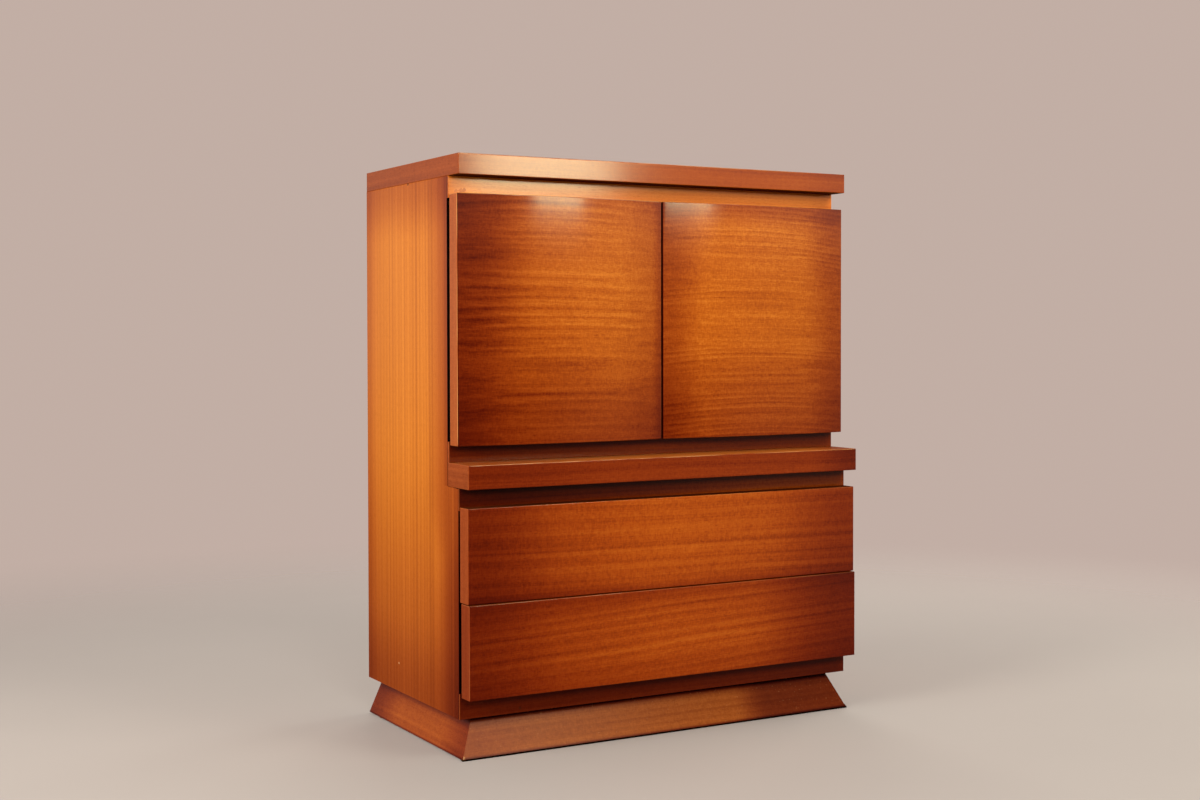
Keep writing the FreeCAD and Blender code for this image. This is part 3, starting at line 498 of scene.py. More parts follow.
COAT_PORE, COAT_CLOUD, COAT_IOR = 0.10, 0.1, 1.5
RELIEF = {"fleck": 0.4, "pore": 0.8, "mottle": 0.2}
BUMP_STRENGTH, BUMP_DEPTH = 0.08, 0.0005


def new_finish(name):
    """A new node material, with its place layer and its shader."""
    material = bpy.data.materials.new(name)
    material.use_nodes = True
    place = Layer(material.node_tree).node("ShaderNodeTexCoord", output=OBJECT_PLACE)
    return material, place, material.node_tree.nodes["Principled BSDF"]


def feed(shader, socket, layer):
    """Joins a layer to a socket of the shader."""
    layer.tree.links.new(layer.socket, shader.inputs[socket])


def mahogany(
    name, grain, low, high, seed, tilt=0.0, figure=1.0, shades=MAIN_SHADES, toner_and_shade=(), wear=0.5,
    run=1.0, mottled=1.0, fade=(1.0, 1.0), pitch=STRIPE_PITCH, broad=0.0, coat=COAT, marks=(), nicks=0.0,
    bare_arris=0.58, worn_ends=1.0, wander=1.0, under_gloss=0.02, haze=0.13,
):
    """Lacquered mahogany of one board, shaded and worn by its own box."""
    material, place, shader = new_finish(name)
    parts = place.parts()
    turned = [0.0, 0.0, 0.0]
    turned[Y if grain == X else X] = tilt
    drift = tuple(seed * step for step in SEED_STEPS)
    mapped = place.node("ShaderNodeMapping", sockets={"Vector": place, "Location": drift, "Rotation": turned})

    def layer(kind):
        """One of the recipe's named noises."""
        return noise(mapped, grain, *LAYER_SIZES[kind])

    mottle, ripple, fleck, cloud = (layer(kind) for kind in ("mottle", "ripple", "fleck", "cloud"))
    pore = layer("pore").between(*PORE_BAND)
    figured = ribbon_figure(bent_grain(mapped, grain, run, wander), grain, run, pitch, broad)
    along = (parts[grain] - low[grain]) * (1.0 / (high[grain] - low[grain]))
    plain = fade[0] + (fade[1] - fade[0]) * along
    fine = MOTTLE * mottle + RIPPLE * ripple + FLECK * fleck
    tone = 0.5 + figure * figured * plain + mottled * fine + CLOUD * cloud
    stops = list(zip(SHADE_STOPS, shades))
    colour = tone.node("ShaderNodeValToRGB", {"stops": stops}, {"Fac": tone})
    colour = mixed(PORE_DARK * pore, colour, shades[0])
    if toner_and_shade:
        film = toner_and_shade_depth(parts, low, high, toner_and_shade, cloud)
        colour = toner_and_shade_darkened(colour, film)

    arris = middle_of(*edge_distance(place, low, high))
    patchy = (PATCH_LEVEL + PATCH_SWING * layer("patch")).between(*PATCH_BAND)
    at_arris = 1.0 - arris.between(*ARRIS_BAND)
    off_bottom = (parts[Z] - low.z).between(*BOTTOM_BAND)
    off_ends = edge_distance(place, low, high)[X].between(*END_BAND)
    kept = worn_ends + (1.0 - worn_ends) * off_ends
    rubbed = wear * at_arris * patchy * off_bottom * kept
    if toner_and_shade:
        rubbed = rubbed * (1.0 - film.between(*WEAR_UNDER_FILM))
    colour = mixed(rubbed, colour, PALE_ARRIS)
    if nicks:
        colour = mixed(nicks * layer("nick").between(*NICK_BAND), colour, SMALL_NICK)
    colour = marked(colour, place, marks)

    feed(shader, "Base Color", colour)
    gloss = BASE_GLOSS["level"]
    for kind, amount in (("cloud", cloud), ("pore", pore), ("fleck", fleck), ("rubbed", rubbed)):
        gloss = gloss + BASE_GLOSS[kind] * amount
    feed(shader, "Roughness", gloss)
    lacquer = coat * (1.0 - bare_arris * at_arris - COAT_PORE * pore + COAT_CLOUD * cloud)
    feed(shader, "Coat Weight", lacquer)
    relief = fleck * RELIEF["fleck"] - pore * RELIEF["pore"] + mottle * RELIEF["mottle"]
    sockets = {"Height": relief, "Strength": BUMP_STRENGTH, "Distance": BUMP_DEPTH}
    feed(shader, "Normal", relief.node("ShaderNodeBump", sockets=sockets))
    shader.inputs["Specular IOR Level"].default_value = under_gloss
    shader.inputs["Coat Roughness"].default_value = haze
    shader.inputs["Coat IOR"].default_value = COAT_IOR
    return material


print("mahogany recipe ready")

# %% [markdown]
# ## Top slab, waist shelf and rails
# The top and the waist shelf are thick boards with the figure running along the front; their ends are lipped
# with straight grain that runs front to back. The four rails sit back in the recesses. Some faces carry
# painted light and shade: the three lower rails are darkened as the shade of their recesses, the top rail is
# lightened as lit, the slab's underside is darkened as its shade, and the shelf's top is lightened as lit
# from above.

# %% Boards across the case
LIGHT_EDGE = ((0.215, 0.044, 0.011), (0.31, 0.073, 0.018), (0.39, 0.104, 0.029))
RED_END = ((0.155, 0.026, 0.006), (0.235, 0.048, 0.011), (0.31, 0.071, 0.017))
# Painted light and shade: the recessed rails get darker shades as their painted shade, the top rail lighter
# ones as painted light, the slab's underside dark ones as painted shade, and the shelf's top lighter ones as
# lit from above.
SHADED_RAIL = ((0.096, 0.0085, 0.0005), (0.187, 0.0285, 0.0015), (0.268, 0.055, 0.0042))
LIT_GOLD_RAIL = ((0.52, 0.105, 0.010), (0.75, 0.218, 0.027), (0.86, 0.305, 0.048))
SHADED_UNDERSIDE = ((0.05, 0.010, 0.0012), (0.08, 0.017, 0.0020), (0.11, 0.026, 0.0035))
LIT_SHELF_TOP = ((0.26, 0.060, 0.008), (0.40, 0.110, 0.015), (0.52, 0.165, 0.026))
FACE_FINISH, END_FINISH, FLAT_FINISH = 0, 1, 2
FILM_POWERS = (1.0, 1.85, 1.9)
END_FACING, FLAT_FACING = 0.7, 0.9
BOARD_FIGURE = 0.9
THIN_COAT = 0.1
LIPPING_SEED = 0.5


def filmed(shades, depth):
    """Shades under a thinner or thicker film of toner: the darker, the redder."""
    return [[part * depth ** power for part, power in zip(shade, FILM_POWERS)] for shade in shades]


def is_end(face):
    """0 for a board's broad faces, 1 for its ends."""
    return END_FINISH if abs(face.normal.x) > END_FACING else FACE_FINISH


def is_end_or_under(face):
    """As above, and 2 for the face that looks down."""
    return FLAT_FINISH if face.normal.z < -FLAT_FACING else is_end(face)


def is_end_or_top(face):
    """The same, with 2 for the face that looks up."""
    return FLAT_FINISH if face.normal.z > FLAT_FACING else is_end(face)


CROSS_BOARDS = {
    "top_slab": {
        "seed": 1.0, "tilt": 0.004, "shades": filmed(MAIN_SHADES, 0.71), "wear": 0.4, "mottled": 0.45,
        "coat": 0.87,
        "toner_and_shade": [(X, -1, 0.10, 0.2), (X, 1, 0.16, 0.15)],
    },
    "waist_shelf": {
        "seed": 2.0, "tilt": -0.006, "shades": filmed(MAIN_SHADES, 0.46), "wear": 0.5, "mottled": 0.9,
        "toner_and_shade": [(X, -1, 0.40, 0.34), (X, 1, 0.14, 0.5)],
    },
    # Painted light: the top rail's shades are a lighter copy of the mahogany, standing in for the light that
    # falls on it below the slab.
    "top_rail": {
        "seed": 3.0, "tilt": 0.0, "shades": LIT_GOLD_RAIL, "wear": 0.0, "mottled": 0.3,
        "coat": 0.70,
        "toner_and_shade": [(X, -1, 0.06, 0.10), (X, 1, 0.10, 0.10)],
        "marks": [
            (Vector((-0.472, -0.18335, 1.2065)), 0.0065, (0.52, 0.115, 0.012)),
            (Vector((-0.480, -0.18335, 1.2060)), 0.0055, (0.54, 0.125, 0.014)),
            (Vector((-0.490, -0.18335, 1.2050)), 0.0045, (0.54, 0.125, 0.014)),
        ],
    },
    # Painted shade: these three rails sit back in recesses. Their darker shades, the films from their tops
    # (the shadow under what overhangs them) and the films towards one end all stand for the shade there.
    "cupboard_rail": {
        "seed": 4.0, "tilt": 0.0, "shades": filmed(SHADED_RAIL, 0.88), "wear": 0.0, "mottled": 0.8,
        "toner_and_shade": [(X, -1, 0.30, 0.2), (Z, 1, 0.045, 0.55)],
    },
    "drawer_rail": {
        "seed": 5.0, "tilt": 0.0, "shades": filmed(SHADED_RAIL, 1.08), "wear": 0.0, "mottled": 0.8,
        "toner_and_shade": [(X, -1, 0.80, 0.78), (Z, 1, 0.045, 0.55)],
    },
    "bottom_rail": {
        "seed": 6.0, "tilt": 0.0, "shades": filmed(SHADED_RAIL, 0.54), "wear": 0.0, "mottled": 0.8,
        "toner_and_shade": [(X, 1, 0.30, 0.15), (Z, 1, 0.055, 0.4)],
        "marks": [(Vector((-0.3657, -0.23265, 0.0957)), 0.0032, DARK_DENT)],
    },
}
side_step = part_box("left_side_panel")[0].y
waist_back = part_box("waist_shelf")[1].y
inner_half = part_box("cupboard_floor")[1].x
LAPS = {
    "top_rail": waist_back, "cupboard_rail": waist_back, "drawer_rail": side_step, "bottom_rail": side_step,
}


def lapped(low, high, lap):
    """A rail that fits between the sides and laps over their front edges."""
    plan = [
        (low.x, low.y), (high.x, low.y), (high.x, lap), (inner_half, lap),
        (inner_half, high.y), (-inner_half, high.y), (-inner_half, lap), (low.x, lap),
    ]
    return pulled([(x, y, low.z) for x, y in plan], Vector((0, 0, high.z - low.z)))


for node, board in CROSS_BOARDS.items():
    low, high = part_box(node)
    shape = lapped(low, high, LAPS[node]) if node in LAPS else block(low, high)
    soften(shape, ARRIS if node not in LAPS else ARRIS / 2)
    seed, tilt, toner_and_shade = board["seed"], board["tilt"], board["toner_and_shade"]
    face = mahogany(
        f"{node}_face", X, low, high, seed, tilt, BOARD_FIGURE, board["shades"], toner_and_shade, board["wear"],
        mottled=board["mottled"], marks=board.get("marks", ()), worn_ends=0.2, bare_arris=0.3,
        coat=board.get("coat", COAT),
    )
    end = mahogany(
        f"{node}_end", Y, low, high, seed + LIPPING_SEED, figure=BOARD_FIGURE, shades=RED_END, wear=0.05,
    )
    finishes = [face, end]
    paint = is_end
    if node == "waist_shelf":
        paint = is_end_or_top
        # Painted light: the shelf's top gets lighter shades, as lit from above.
        finishes.append(mahogany(
            f"{node}_top", X, low, high, seed, tilt, BOARD_FIGURE, LIT_SHELF_TOP, toner_and_shade, wear=0.4,
            coat=THIN_COAT,
        ))
    if node == "top_slab":
        paint = is_end_or_under
        # Painted shade: the slab's underside gets dark shades, standing in for the shade under its overhang.
        finishes.append(mahogany(
            f"{node}_under", X, low, high, seed, figure=BOARD_FIGURE, shades=SHADED_UNDERSIDE, wear=0.0,
            coat=THIN_COAT, under_gloss=0.0,
        ))
    add_piece(f"{node}_board", shape, finishes, "case", [node], paint)

# %% [markdown]
# ## Side panels
# Each side is one tall board with straight, fine grain from top to bottom. Its outline steps forward below
# the waist, it is rebated for the back, and it is bored for shelf pins and hinge screws. The frame's own
# solid already has all of these, so it stays and only gets its finish.


# %% Dress the side panels
def dress(node, material):
    """Gives a CAD node that keeps its shape a finish."""
    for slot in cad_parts[node].material_slots:
        slot.material = material
    print(node, "dressed in", material.name)


waist_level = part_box("waist_shelf")[0].z
setback = waist_back - side_step
FILM_STEP = 0.24


def stepped_front(parts):
    """The front edge of a side panel: further back above the waist."""
    return side_step + setback * parts[Z].between(waist_level - ARRIS, waist_level + ARRIS)


def blended_front(parts):
    """The same edge with a long easy step, for the film of toner that was sprayed along it."""
    return side_step + setback * parts[Z].between(waist_level - FILM_STEP, waist_level + ARRIS)


LOW_FILM = (0.30, 0.58)
LOW_FILM_REACH = 0.17


def low_front(parts):
    """The front edge below the waist only: higher up this film lies outside the board."""
    return side_step - LOW_FILM_REACH * parts[Z].between(*LOW_FILM)


SIDE_SHADES = ((0.35, 0.095, 0.011), (0.53, 0.168, 0.019), (0.66, 0.235, 0.033))
SIDE_MARKS = [
    (Vector((-0.508, 0.0955, 0.1507)), 0.0030, BARE_WOOD),
    (Vector((-0.508, 0.0320, 1.2350)), 0.0050, DARK_DENT),
]
for node, seed in (("left_side_panel", 11.0), ("right_side_panel", 12.0)):
    low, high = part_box(node)
    toner_and_shade = [
        (Y, -1, 0.12, 0.46, blended_front), (Y, -1, 0.03, 0.20, stepped_front),
        # Painted shade: this thin, deep film blackens the front edge itself, standing in for the shade in the
        # gap in front of it.
        (Y, -1, 0.0012, 3.0, stepped_front),
        (Y, -1, LOW_FILM_REACH, 0.20, low_front),
        # The two films from the bottom darken the panel downwards: partly toner, partly painted shade where
        # less light falls low down.
        (Y, 1, 0.10, 0.27), (Z, -1, 0.60, 0.40), (Z, -1, 0.20, 0.25), (Z, 1, 0.14, 0.31),
    ]
    veneer = mahogany(
        f"{node}_veneer", Z, low, high, seed, shades=SIDE_SHADES, toner_and_shade=toner_and_shade, wear=0.0, run=4.0,
        mottled=0.4, pitch=0.017, broad=0.3, marks=SIDE_MARKS,
    )
    dress(node, veneer)

# %% [markdown]
# ## Plinth
# Three boards lean outwards under the case and meet in mitres at the front corners. Each is a slanted
# cross-section pulled along the board, cut at 45 degrees by a plane through the corner, and closed again.

# %% Plinth boards
PLINTH_FLARE = 0.0381
PLINTH_WALL = 0.022
front_low, front_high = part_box("plinth_front")
PLINTH_ARRIS = 0.0008
SCUFF_RADIUS = 0.008


def mitre(shape, corner, outward):
    """Cuts a board off along an upright plane and closes the cut."""
    parts = list(shape.verts) + list(shape.edges) + list(shape.faces)
    cut = bmesh.ops.bisect_plane(shape, geom=parts, plane_co=corner, plane_no=outward, clear_outer=True)
    rim = [part for part in cut["geom_cut"] if isinstance(part, bmesh.types.BMEdge)]
    bmesh.ops.edgenet_fill(shape, edges=rim)
    bmesh.ops.recalc_face_normals(shape, faces=shape.faces)


def flared_outline(outer, inward, low_z, high_z):
    """Corner offsets of the slanted cross-section: (offset from the outer face, height)."""
    return [
        (outer, low_z),
        (outer + inward * PLINTH_WALL, low_z),
        (outer + inward * (PLINTH_FLARE + PLINTH_WALL), high_z),
        (outer + inward * PLINTH_FLARE, high_z),
    ]


outline = flared_outline(front_low.y, 1, front_low.z, front_high.z)
shape = pulled([(front_low.x, y, z) for y, z in outline], Vector((front_high.x - front_low.x, 0, 0)))
mitre(shape, Vector((front_low.x, front_low.y, 0)), Vector((-1, 1, 0)))
mitre(shape, Vector((front_high.x, front_low.y, 0)), Vector((1, 1, 0)))
soften(shape, PLINTH_ARRIS)
PLINTH_SIDE_SHADES = ((0.165, 0.024, 0.0025), (0.265, 0.053, 0.006), (0.36, 0.090, 0.011))
PLINTH_SHADES = ((0.155, 0.027, 0.0040), (0.26, 0.062, 0.0088), (0.35, 0.099, 0.0175))
CORNER_SCUFF = Vector((-0.5055, -0.2430, 0.0060))
PAINTED_SHADOW_START = 0.29


def painted_shadow_edge(parts):
    """Where the painted shadow across the plinth's right end begins."""
    return PAINTED_SHADOW_START


toner_and_shade = [
    # Painted shadow: from where the shaded end starts, the right end is darkened as the shadow that falls
    # across it.
    (X, 1, 0.10, 0.70, painted_shadow_edge), (X, -1, 0.22, 0.22),
    # Painted shadow: the films from the top stand for the shadow under the case, and the thin one at the foot
    # for the contact shadow on the floor.
    (Z, 1, 0.018, 2.6), (Z, 1, 0.030, 0.2), (Z, -1, 0.006, 0.9),
]
veneer = mahogany(
    "plinth_front_face", X, front_low, front_high, seed=21.0, figure=0.7, shades=PLINTH_SHADES,
    toner_and_shade=toner_and_shade, wear=0.5, coat=0.8, marks=[(CORNER_SCUFF, SCUFF_RADIUS, SMALL_NICK)], nicks=0.25,
)
add_piece("plinth_front_board", shape, [veneer], "case", ["plinth_front"])

for node, side, seed in (("plinth_left", -1, 22.0), ("plinth_right", 1, 23.0)):
    low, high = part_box(node)
    outer = low.x if side < 0 else high.x
    outline = flared_outline(outer, -side, low.z, high.z)
    shape = pulled([(x, low.y, z) for x, z in outline], Vector((0, high.y - low.y, 0)))
    mitre(shape, Vector((outer, low.y, 0)), Vector((-side, -1, 0)))
    soften(shape, PLINTH_ARRIS)
    # Painted shadow: the film from the top stands for the shadow under the case, and the thin one at the foot
    # for the contact shadow on the floor.
    toner_and_shade = [(Y, -1, 0.16, 0.5), (Y, 1, 0.16, 0.6), (Z, 1, 0.036, 1.02), (Z, -1, 0.006, 0.7)]
    veneer = mahogany(
        f"{node}_face", Y, low, high, seed, figure=0.8, shades=PLINTH_SIDE_SHADES, toner_and_shade=toner_and_shade, wear=0.5,
        coat=0.5, nicks=0.1,
    )
    add_piece(f"{node}_board", shape, [veneer], "case", [node])

# %% [markdown]
# ## Doors
# Each door is a thick board, flat behind and gently bowed in plan in front. A cube is cut into many upright
# strips and the strips' front corners are moved on to the arc, so that the gloss runs over it without
# facets.

# %% Bowed doors
STRIPS = 64
DOOR_BOW = 0.0145
LONG_EDGE = 0.1


def bowed(low, high):
    """A board whose front stands forward in the middle by the bow."""
    shape = block(low, high)
    long_edges = [edge for edge in shape.edges if abs((edge.verts[0].co - edge.verts[1].co).x) > LONG_EDGE]
    bmesh.ops.subdivide_edges(shape, edges=long_edges, cuts=STRIPS - 1, use_grid_fill=True)
    half = (high.x - low.x) / 2
    radius = (half ** 2 + DOOR_BOW ** 2) / (2 * DOOR_BOW)
    for vert in shape.verts:
        if vert.co.y < (low.y + high.y) / 2:
            off_middle = vert.co.x - (low.x + high.x) / 2
            vert.co.y = low.y + radius - math.sqrt(radius ** 2 - off_middle ** 2)
    return shape


LEFT_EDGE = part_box("left_door")[0].x
LEAN = 0.05
LEAN_FROM, LEAN_TO = 0.66, 1.10


def leaning_edge(parts):
    """The left door's film starts further in near the top than near the bottom."""
    return LEFT_EDGE - LEAN + LEAN * parts[Z].between(LEAN_FROM, LEAN_TO)


DOOR_HAZE = 0.11
DOOR_TILT = -0.008
LIPPING_FIGURE = 0.7
DOORS = {
    "left_door": {
        "seed": 31.0, "fade": (1.55, 0.6), "broad": 0.26, "pitch": STRIPE_PITCH, "wander": 1.0, "wear": 0.5,
        "toner_and_shade": [
            (X, -1, 0.20, 0.70, leaning_edge), (X, -1, 0.40, 0.38), (X, -1, 0.004, 0.6), (X, 1, 0.03, 0.35),
            (X, 1, 0.12, 0.17), (Z, -1, 0.22, 0.56), (Z, 1, 0.08, 0.16),
        ],
        # Painted shade: the lipping's edge against the other door is darkened as the shade of the joint.
        "lipping_shade": [(X, 1, 0.003, 2.2)],
    },
    "right_door": {
        "seed": 33.0, "fade": (0.95, 0.95), "broad": 0.12, "pitch": 0.0118, "wander": 0.5, "wear": 0.15,
        "toner_and_shade": [
            # Painted shade: the thin deep film at the left edge stands for the shade of the joint between the
            # doors.
            (X, -1, 0.12, 0.46), (X, -1, 0.0025, 1.2), (X, 1, 0.14, 0.42),
            (Z, -1, 0.26, 0.48), (Z, 1, 0.06, 0.40),
        ],
        # Painted shade: the lipping's edge against the other door is darkened as the shade of the joint.
        "lipping_shade": [(X, -1, 0.003, 2.2)],
    },
}
for node, door in DOORS.items():
    low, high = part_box(node)
    shape = bowed(low, high)
    soften(shape)
    ends_low = low + Vector((0, DOOR_BOW, 0))
    face = mahogany(
        f"{node}_face", X, ends_low, high, door["seed"], DOOR_TILT, toner_and_shade=door["toner_and_shade"],
        fade=door["fade"], broad=door["broad"], wear=door["wear"], bare_arris=0.0, worn_ends=0.2,
        pitch=door["pitch"], wander=door["wander"], haze=DOOR_HAZE,
    )
    lipping = mahogany(
        f"{node}_lipping", Z, ends_low, high, door["seed"] + LIPPING_SEED, figure=LIPPING_FIGURE,
        shades=LIGHT_EDGE, toner_and_shade=door["lipping_shade"],
    )
    add_piece(f"{node}_board", shape, [face, lipping], node, [node], is_end)

# %% [markdown]
# ## Drawer fronts
# The drawer fronts are flat overlay boards in the same veneer, shaded towards both ends. Their top faces are
# painted dark as the shade that they sit in.

# %% Drawer fronts
DRAWER_SHADES = ((0.18, 0.020, 0.0011), (0.385, 0.073, 0.0042), (0.53, 0.142, 0.0110))
# Painted shade: the drawer fronts' top faces get dark shades, standing in for the shade under the waist shelf
# and under the upper drawer's front.
SHADED_DARK_TOP = ((0.036, 0.007, 0.0022), (0.062, 0.0125, 0.0036), (0.090, 0.020, 0.0060))
SHADED_RED_TOP = ((0.080, 0.0135, 0.0030), (0.125, 0.023, 0.0050), (0.165, 0.034, 0.0080))
DRAWERS = {
    "upper_drawer": {
        "seed": 41.0, "tilt": -0.014, "figure": 0.95, "depth": 0.975, "edge": 0.80, "top": SHADED_DARK_TOP,
        "toner_and_shade": [(X, 1, 0.28, 0.50), (Z, -1, 0.022, 0.30), (Z, -1, 0.08, 0.12)],
    },
    "lower_drawer": {
        "seed": 43.0, "tilt": 0.035, "figure": 0.95, "depth": 0.88, "edge": 0.62, "top": SHADED_RED_TOP,
        "toner_and_shade": [
            (X, -1, 0.40, -0.12), (X, 1, 0.33, 0.74),
            (Z, 1, 0.028, 0.14), (Z, 1, 0.08, 0.18), (Z, -1, 0.08, 0.22),
        ],
    },
}
BOTH_DRAWERS = [(X, -1, 0.24, 0.45), (X, -1, 0.50, 0.46), (X, 1, 0.50, 0.14)]
TOP_FIGURE = 0.5
for body, drawer in DRAWERS.items():
    node = f"{body}_front"
    low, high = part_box(node)
    shape = block(low, high)
    soften(shape)
    toner_and_shade = BOTH_DRAWERS + drawer["toner_and_shade"]
    face = mahogany(
        f"{node}_face", X, low, high, drawer["seed"], drawer["tilt"], drawer["figure"],
        filmed(DRAWER_SHADES, drawer["depth"]), toner_and_shade, wear=0.15, worn_ends=0.1,
    )
    lipping = mahogany(
        f"{node}_lipping", Z, low, high, drawer["seed"] + LIPPING_SEED, figure=LIPPING_FIGURE,
        shades=filmed(LIGHT_EDGE, drawer["edge"]), wear=0.1,
    )
    top = mahogany(
        f"{node}_top", X, low, high, drawer["seed"], figure=TOP_FIGURE, shades=drawer["top"], wear=0.0,
        coat=0.0, under_gloss=0.0,
    )
    add_piece(f"{node}_board", shape, [face, lipping, top], body, [node], is_end_or_top)

# %% [markdown]
# ## Inner woods and metal
# What the doors and drawers hide is plainer: pale secondary wood for runners and boxes, rotary-cut plywood
# for the backs and drawer bottoms, brass and steel for the fittings. Each keeps its own grain or its own
# wear, and the same noise helpers serve, with fewer layers.

# %% Plain timber, plywood and metal
# Painted shade: the dark first millimetres behind each drawer front stand for the shade in the narrow gap
# there.
GAP_SHADE = (0.030, 0.009, 0.004)
GAP_SHADE_REACH = (0.007, 0.011)
TIMBER_STOPS = (0.2, 0.5, 0.8)
TIMBER_GLOSS, TIMBER_SHEEN = 0.62, 0.25
FIBRE_STRENGTH, FIBRE_DEPTH = 0.2, 0.0004
PLAIN_SIZES = {"fibre": (0.05, 0.0009, 2.0), "cloud": (0.4, 0.12, 2.0)}
RING_LENGTH, RING_WIDTH = 0.9, 0.006
PLAIN_RING, PLAIN_FIBRE, PLAIN_CLOUD = 1.6, 0.7, 0.6
PLAIN_GLOSS_FIBRE, PLAIN_GLOSS_CLOUD = 0.25, 0.2


def raised(shader, height):
    """Gives the shader fine relief."""
    sockets = {"Height": height, "Strength": FIBRE_STRENGTH, "Distance": FIBRE_DEPTH}
    feed(shader, "Normal", height.node("ShaderNodeBump", sockets=sockets))
    shader.inputs["Specular IOR Level"].default_value = TIMBER_SHEEN


def shaded(tone, shades):
    """The colour of bare wood at a tone."""
    return tone.node("ShaderNodeValToRGB", {"stops": list(zip(TIMBER_STOPS, shades))}, {"Fac": tone})


def plain_timber(name, grain, shades, width=RING_WIDTH, gap_shade_from=None):
    """Oiled secondary wood with straight growth rings and fine fibres, darkened at its front end by painted
    shade if asked.
    """
    material, place, shader = new_finish(name)
    ring = noise(place, grain, RING_LENGTH, width, 2.0)
    fibre, cloud = (noise(place, grain, *PLAIN_SIZES[kind]) for kind in ("fibre", "cloud"))
    colour = shaded(0.5 + PLAIN_RING * ring + PLAIN_FIBRE * fibre + PLAIN_CLOUD * cloud, shades)
    if gap_shade_from is not None:
        outside_gap_shade = (place.parts()[Y] - gap_shade_from).between(*GAP_SHADE_REACH)
        colour = mixed(outside_gap_shade, GAP_SHADE, colour)
    feed(shader, "Base Color", colour)
    feed(shader, "Roughness", TIMBER_GLOSS + PLAIN_GLOSS_FIBRE * fibre + PLAIN_GLOSS_CLOUD * cloud)
    raised(shader, fibre)
    return material


PEELED_SIZES = {
    "hill": (1.1, 0.26, 1.0),
    "jitter": (0.35, 0.02, 1.0),
    "fibre": (0.06, 0.0010, 2.0),
    "streak": (0.7, 0.010, 1.0),
    "cloud": (0.5, 0.20, 2.0),
    "pore": (0.012, 0.0007, 0.0),
}
RINGS_PER_HILL, RING_JITTER = 95.0, 2.0
PEELED_PORE = (0.14, 0.24)
PEELED_MIX = {"ring": 0.11, "fibre": 0.45, "streak": 0.35, "cloud": 0.5, "pore": -0.16}
PEELED_GLOSS = {"level": 0.66, "fibre": 0.25, "pore": 0.1}
PORE_RELIEF = 0.6


def peeled_timber(name, grain, shades, drift=(0.0, 0.0, 0.0)):
    """Rotary-cut plywood: growth rings peeled into nested flames, with fine fibres and short dark pores."""
    material, place, shader = new_finish(name)
    place = place.node("ShaderNodeMapping", sockets={"Vector": place, "Location": drift})
    made = {kind: noise(place, grain, *size) for kind, size in PEELED_SIZES.items()}
    fibre, pore = made["fibre"], made["pore"].between(*PEELED_PORE)
    phase = RINGS_PER_HILL * made["hill"] + RING_JITTER * made["jitter"]
    layers = dict(made, ring=phase.maths("SINE", phase, 0.0), pore=pore)
    tone = 0.5
    for kind, weight in PEELED_MIX.items():
        tone = tone + weight * layers[kind]
    feed(shader, "Base Color", shaded(tone, shades))
    gloss = PEELED_GLOSS["level"] + PEELED_GLOSS["fibre"] * fibre + PEELED_GLOSS["pore"] * pore
    feed(shader, "Roughness", gloss)
    raised(shader, fibre - PORE_RELIEF * pore)
    return material


SCRATCH_SIZE, PATCH_SIZE = (0.03, 0.0006, 2.0), (0.02, 0.012, 3.0)
TARNISH_BAND, TARNISH_SCRATCH = (-0.15, 0.25), 0.5
GLOSS_SCRATCH, GLOSS_PATCH = 0.3, 0.4


def metal(name, colour, tarnish, gloss=0.35, metallic=1.0):
    """Worn metal: fine scratches in the gloss and patches of tarnish."""
    material, place, shader = new_finish(name)
    scratch, patch = noise(place, Z, *SCRATCH_SIZE), noise(place, Z, *PATCH_SIZE)
    tarnished = (patch + TARNISH_SCRATCH * scratch).between(*TARNISH_BAND)
    feed(shader, "Base Color", mixed(tarnished, colour, tarnish))
    feed(shader, "Roughness", gloss + GLOSS_SCRATCH * scratch + GLOSS_PATCH * patch)
    shader.inputs["Metallic"].default_value = metallic
    return material


PALE_WOOD = ((0.42, 0.24, 0.11), (0.56, 0.36, 0.18), (0.66, 0.46, 0.26))
PLY_WOOD = ((0.36, 0.19, 0.085), (0.52, 0.31, 0.15), (0.63, 0.42, 0.23))
pale_along_x = plain_timber("secondary_wood_across", X, PALE_WOOD)
pale_along_y = plain_timber("secondary_wood_deep", Y, PALE_WOOD)
plywood = peeled_timber("plywood_face", X, PLY_WOOD)
# Painted shade: the hinges' dark brass is made nearly black, so that the hinges also paint the shade in the
# gaps beside the doors.
gap_shade_brass = metal("dark_brass_and_gap_shade", (0.010, 0.006, 0.004), (0.005, 0.003, 0.002), gloss=0.80, metallic=0.95)
brass = metal("aged_brass", (0.62, 0.40, 0.15), (0.26, 0.14, 0.05), gloss=0.34)
steel = metal("zinc_steel", (0.52, 0.52, 0.53), (0.28, 0.27, 0.26), gloss=0.38)
enamel = metal("catch_enamel", (0.16, 0.075, 0.032), (0.10, 0.045, 0.020), gloss=0.42, metallic=0.0)
print("inner finishes ready")

# %% [markdown]
# Most inner pieces keep the frame's own solids, which already have their grooves, holes and knuckles. They
# only need the right finish: veneer on the cupboard's floor and shelf, pale wood on what carries, metal on
# what turns.

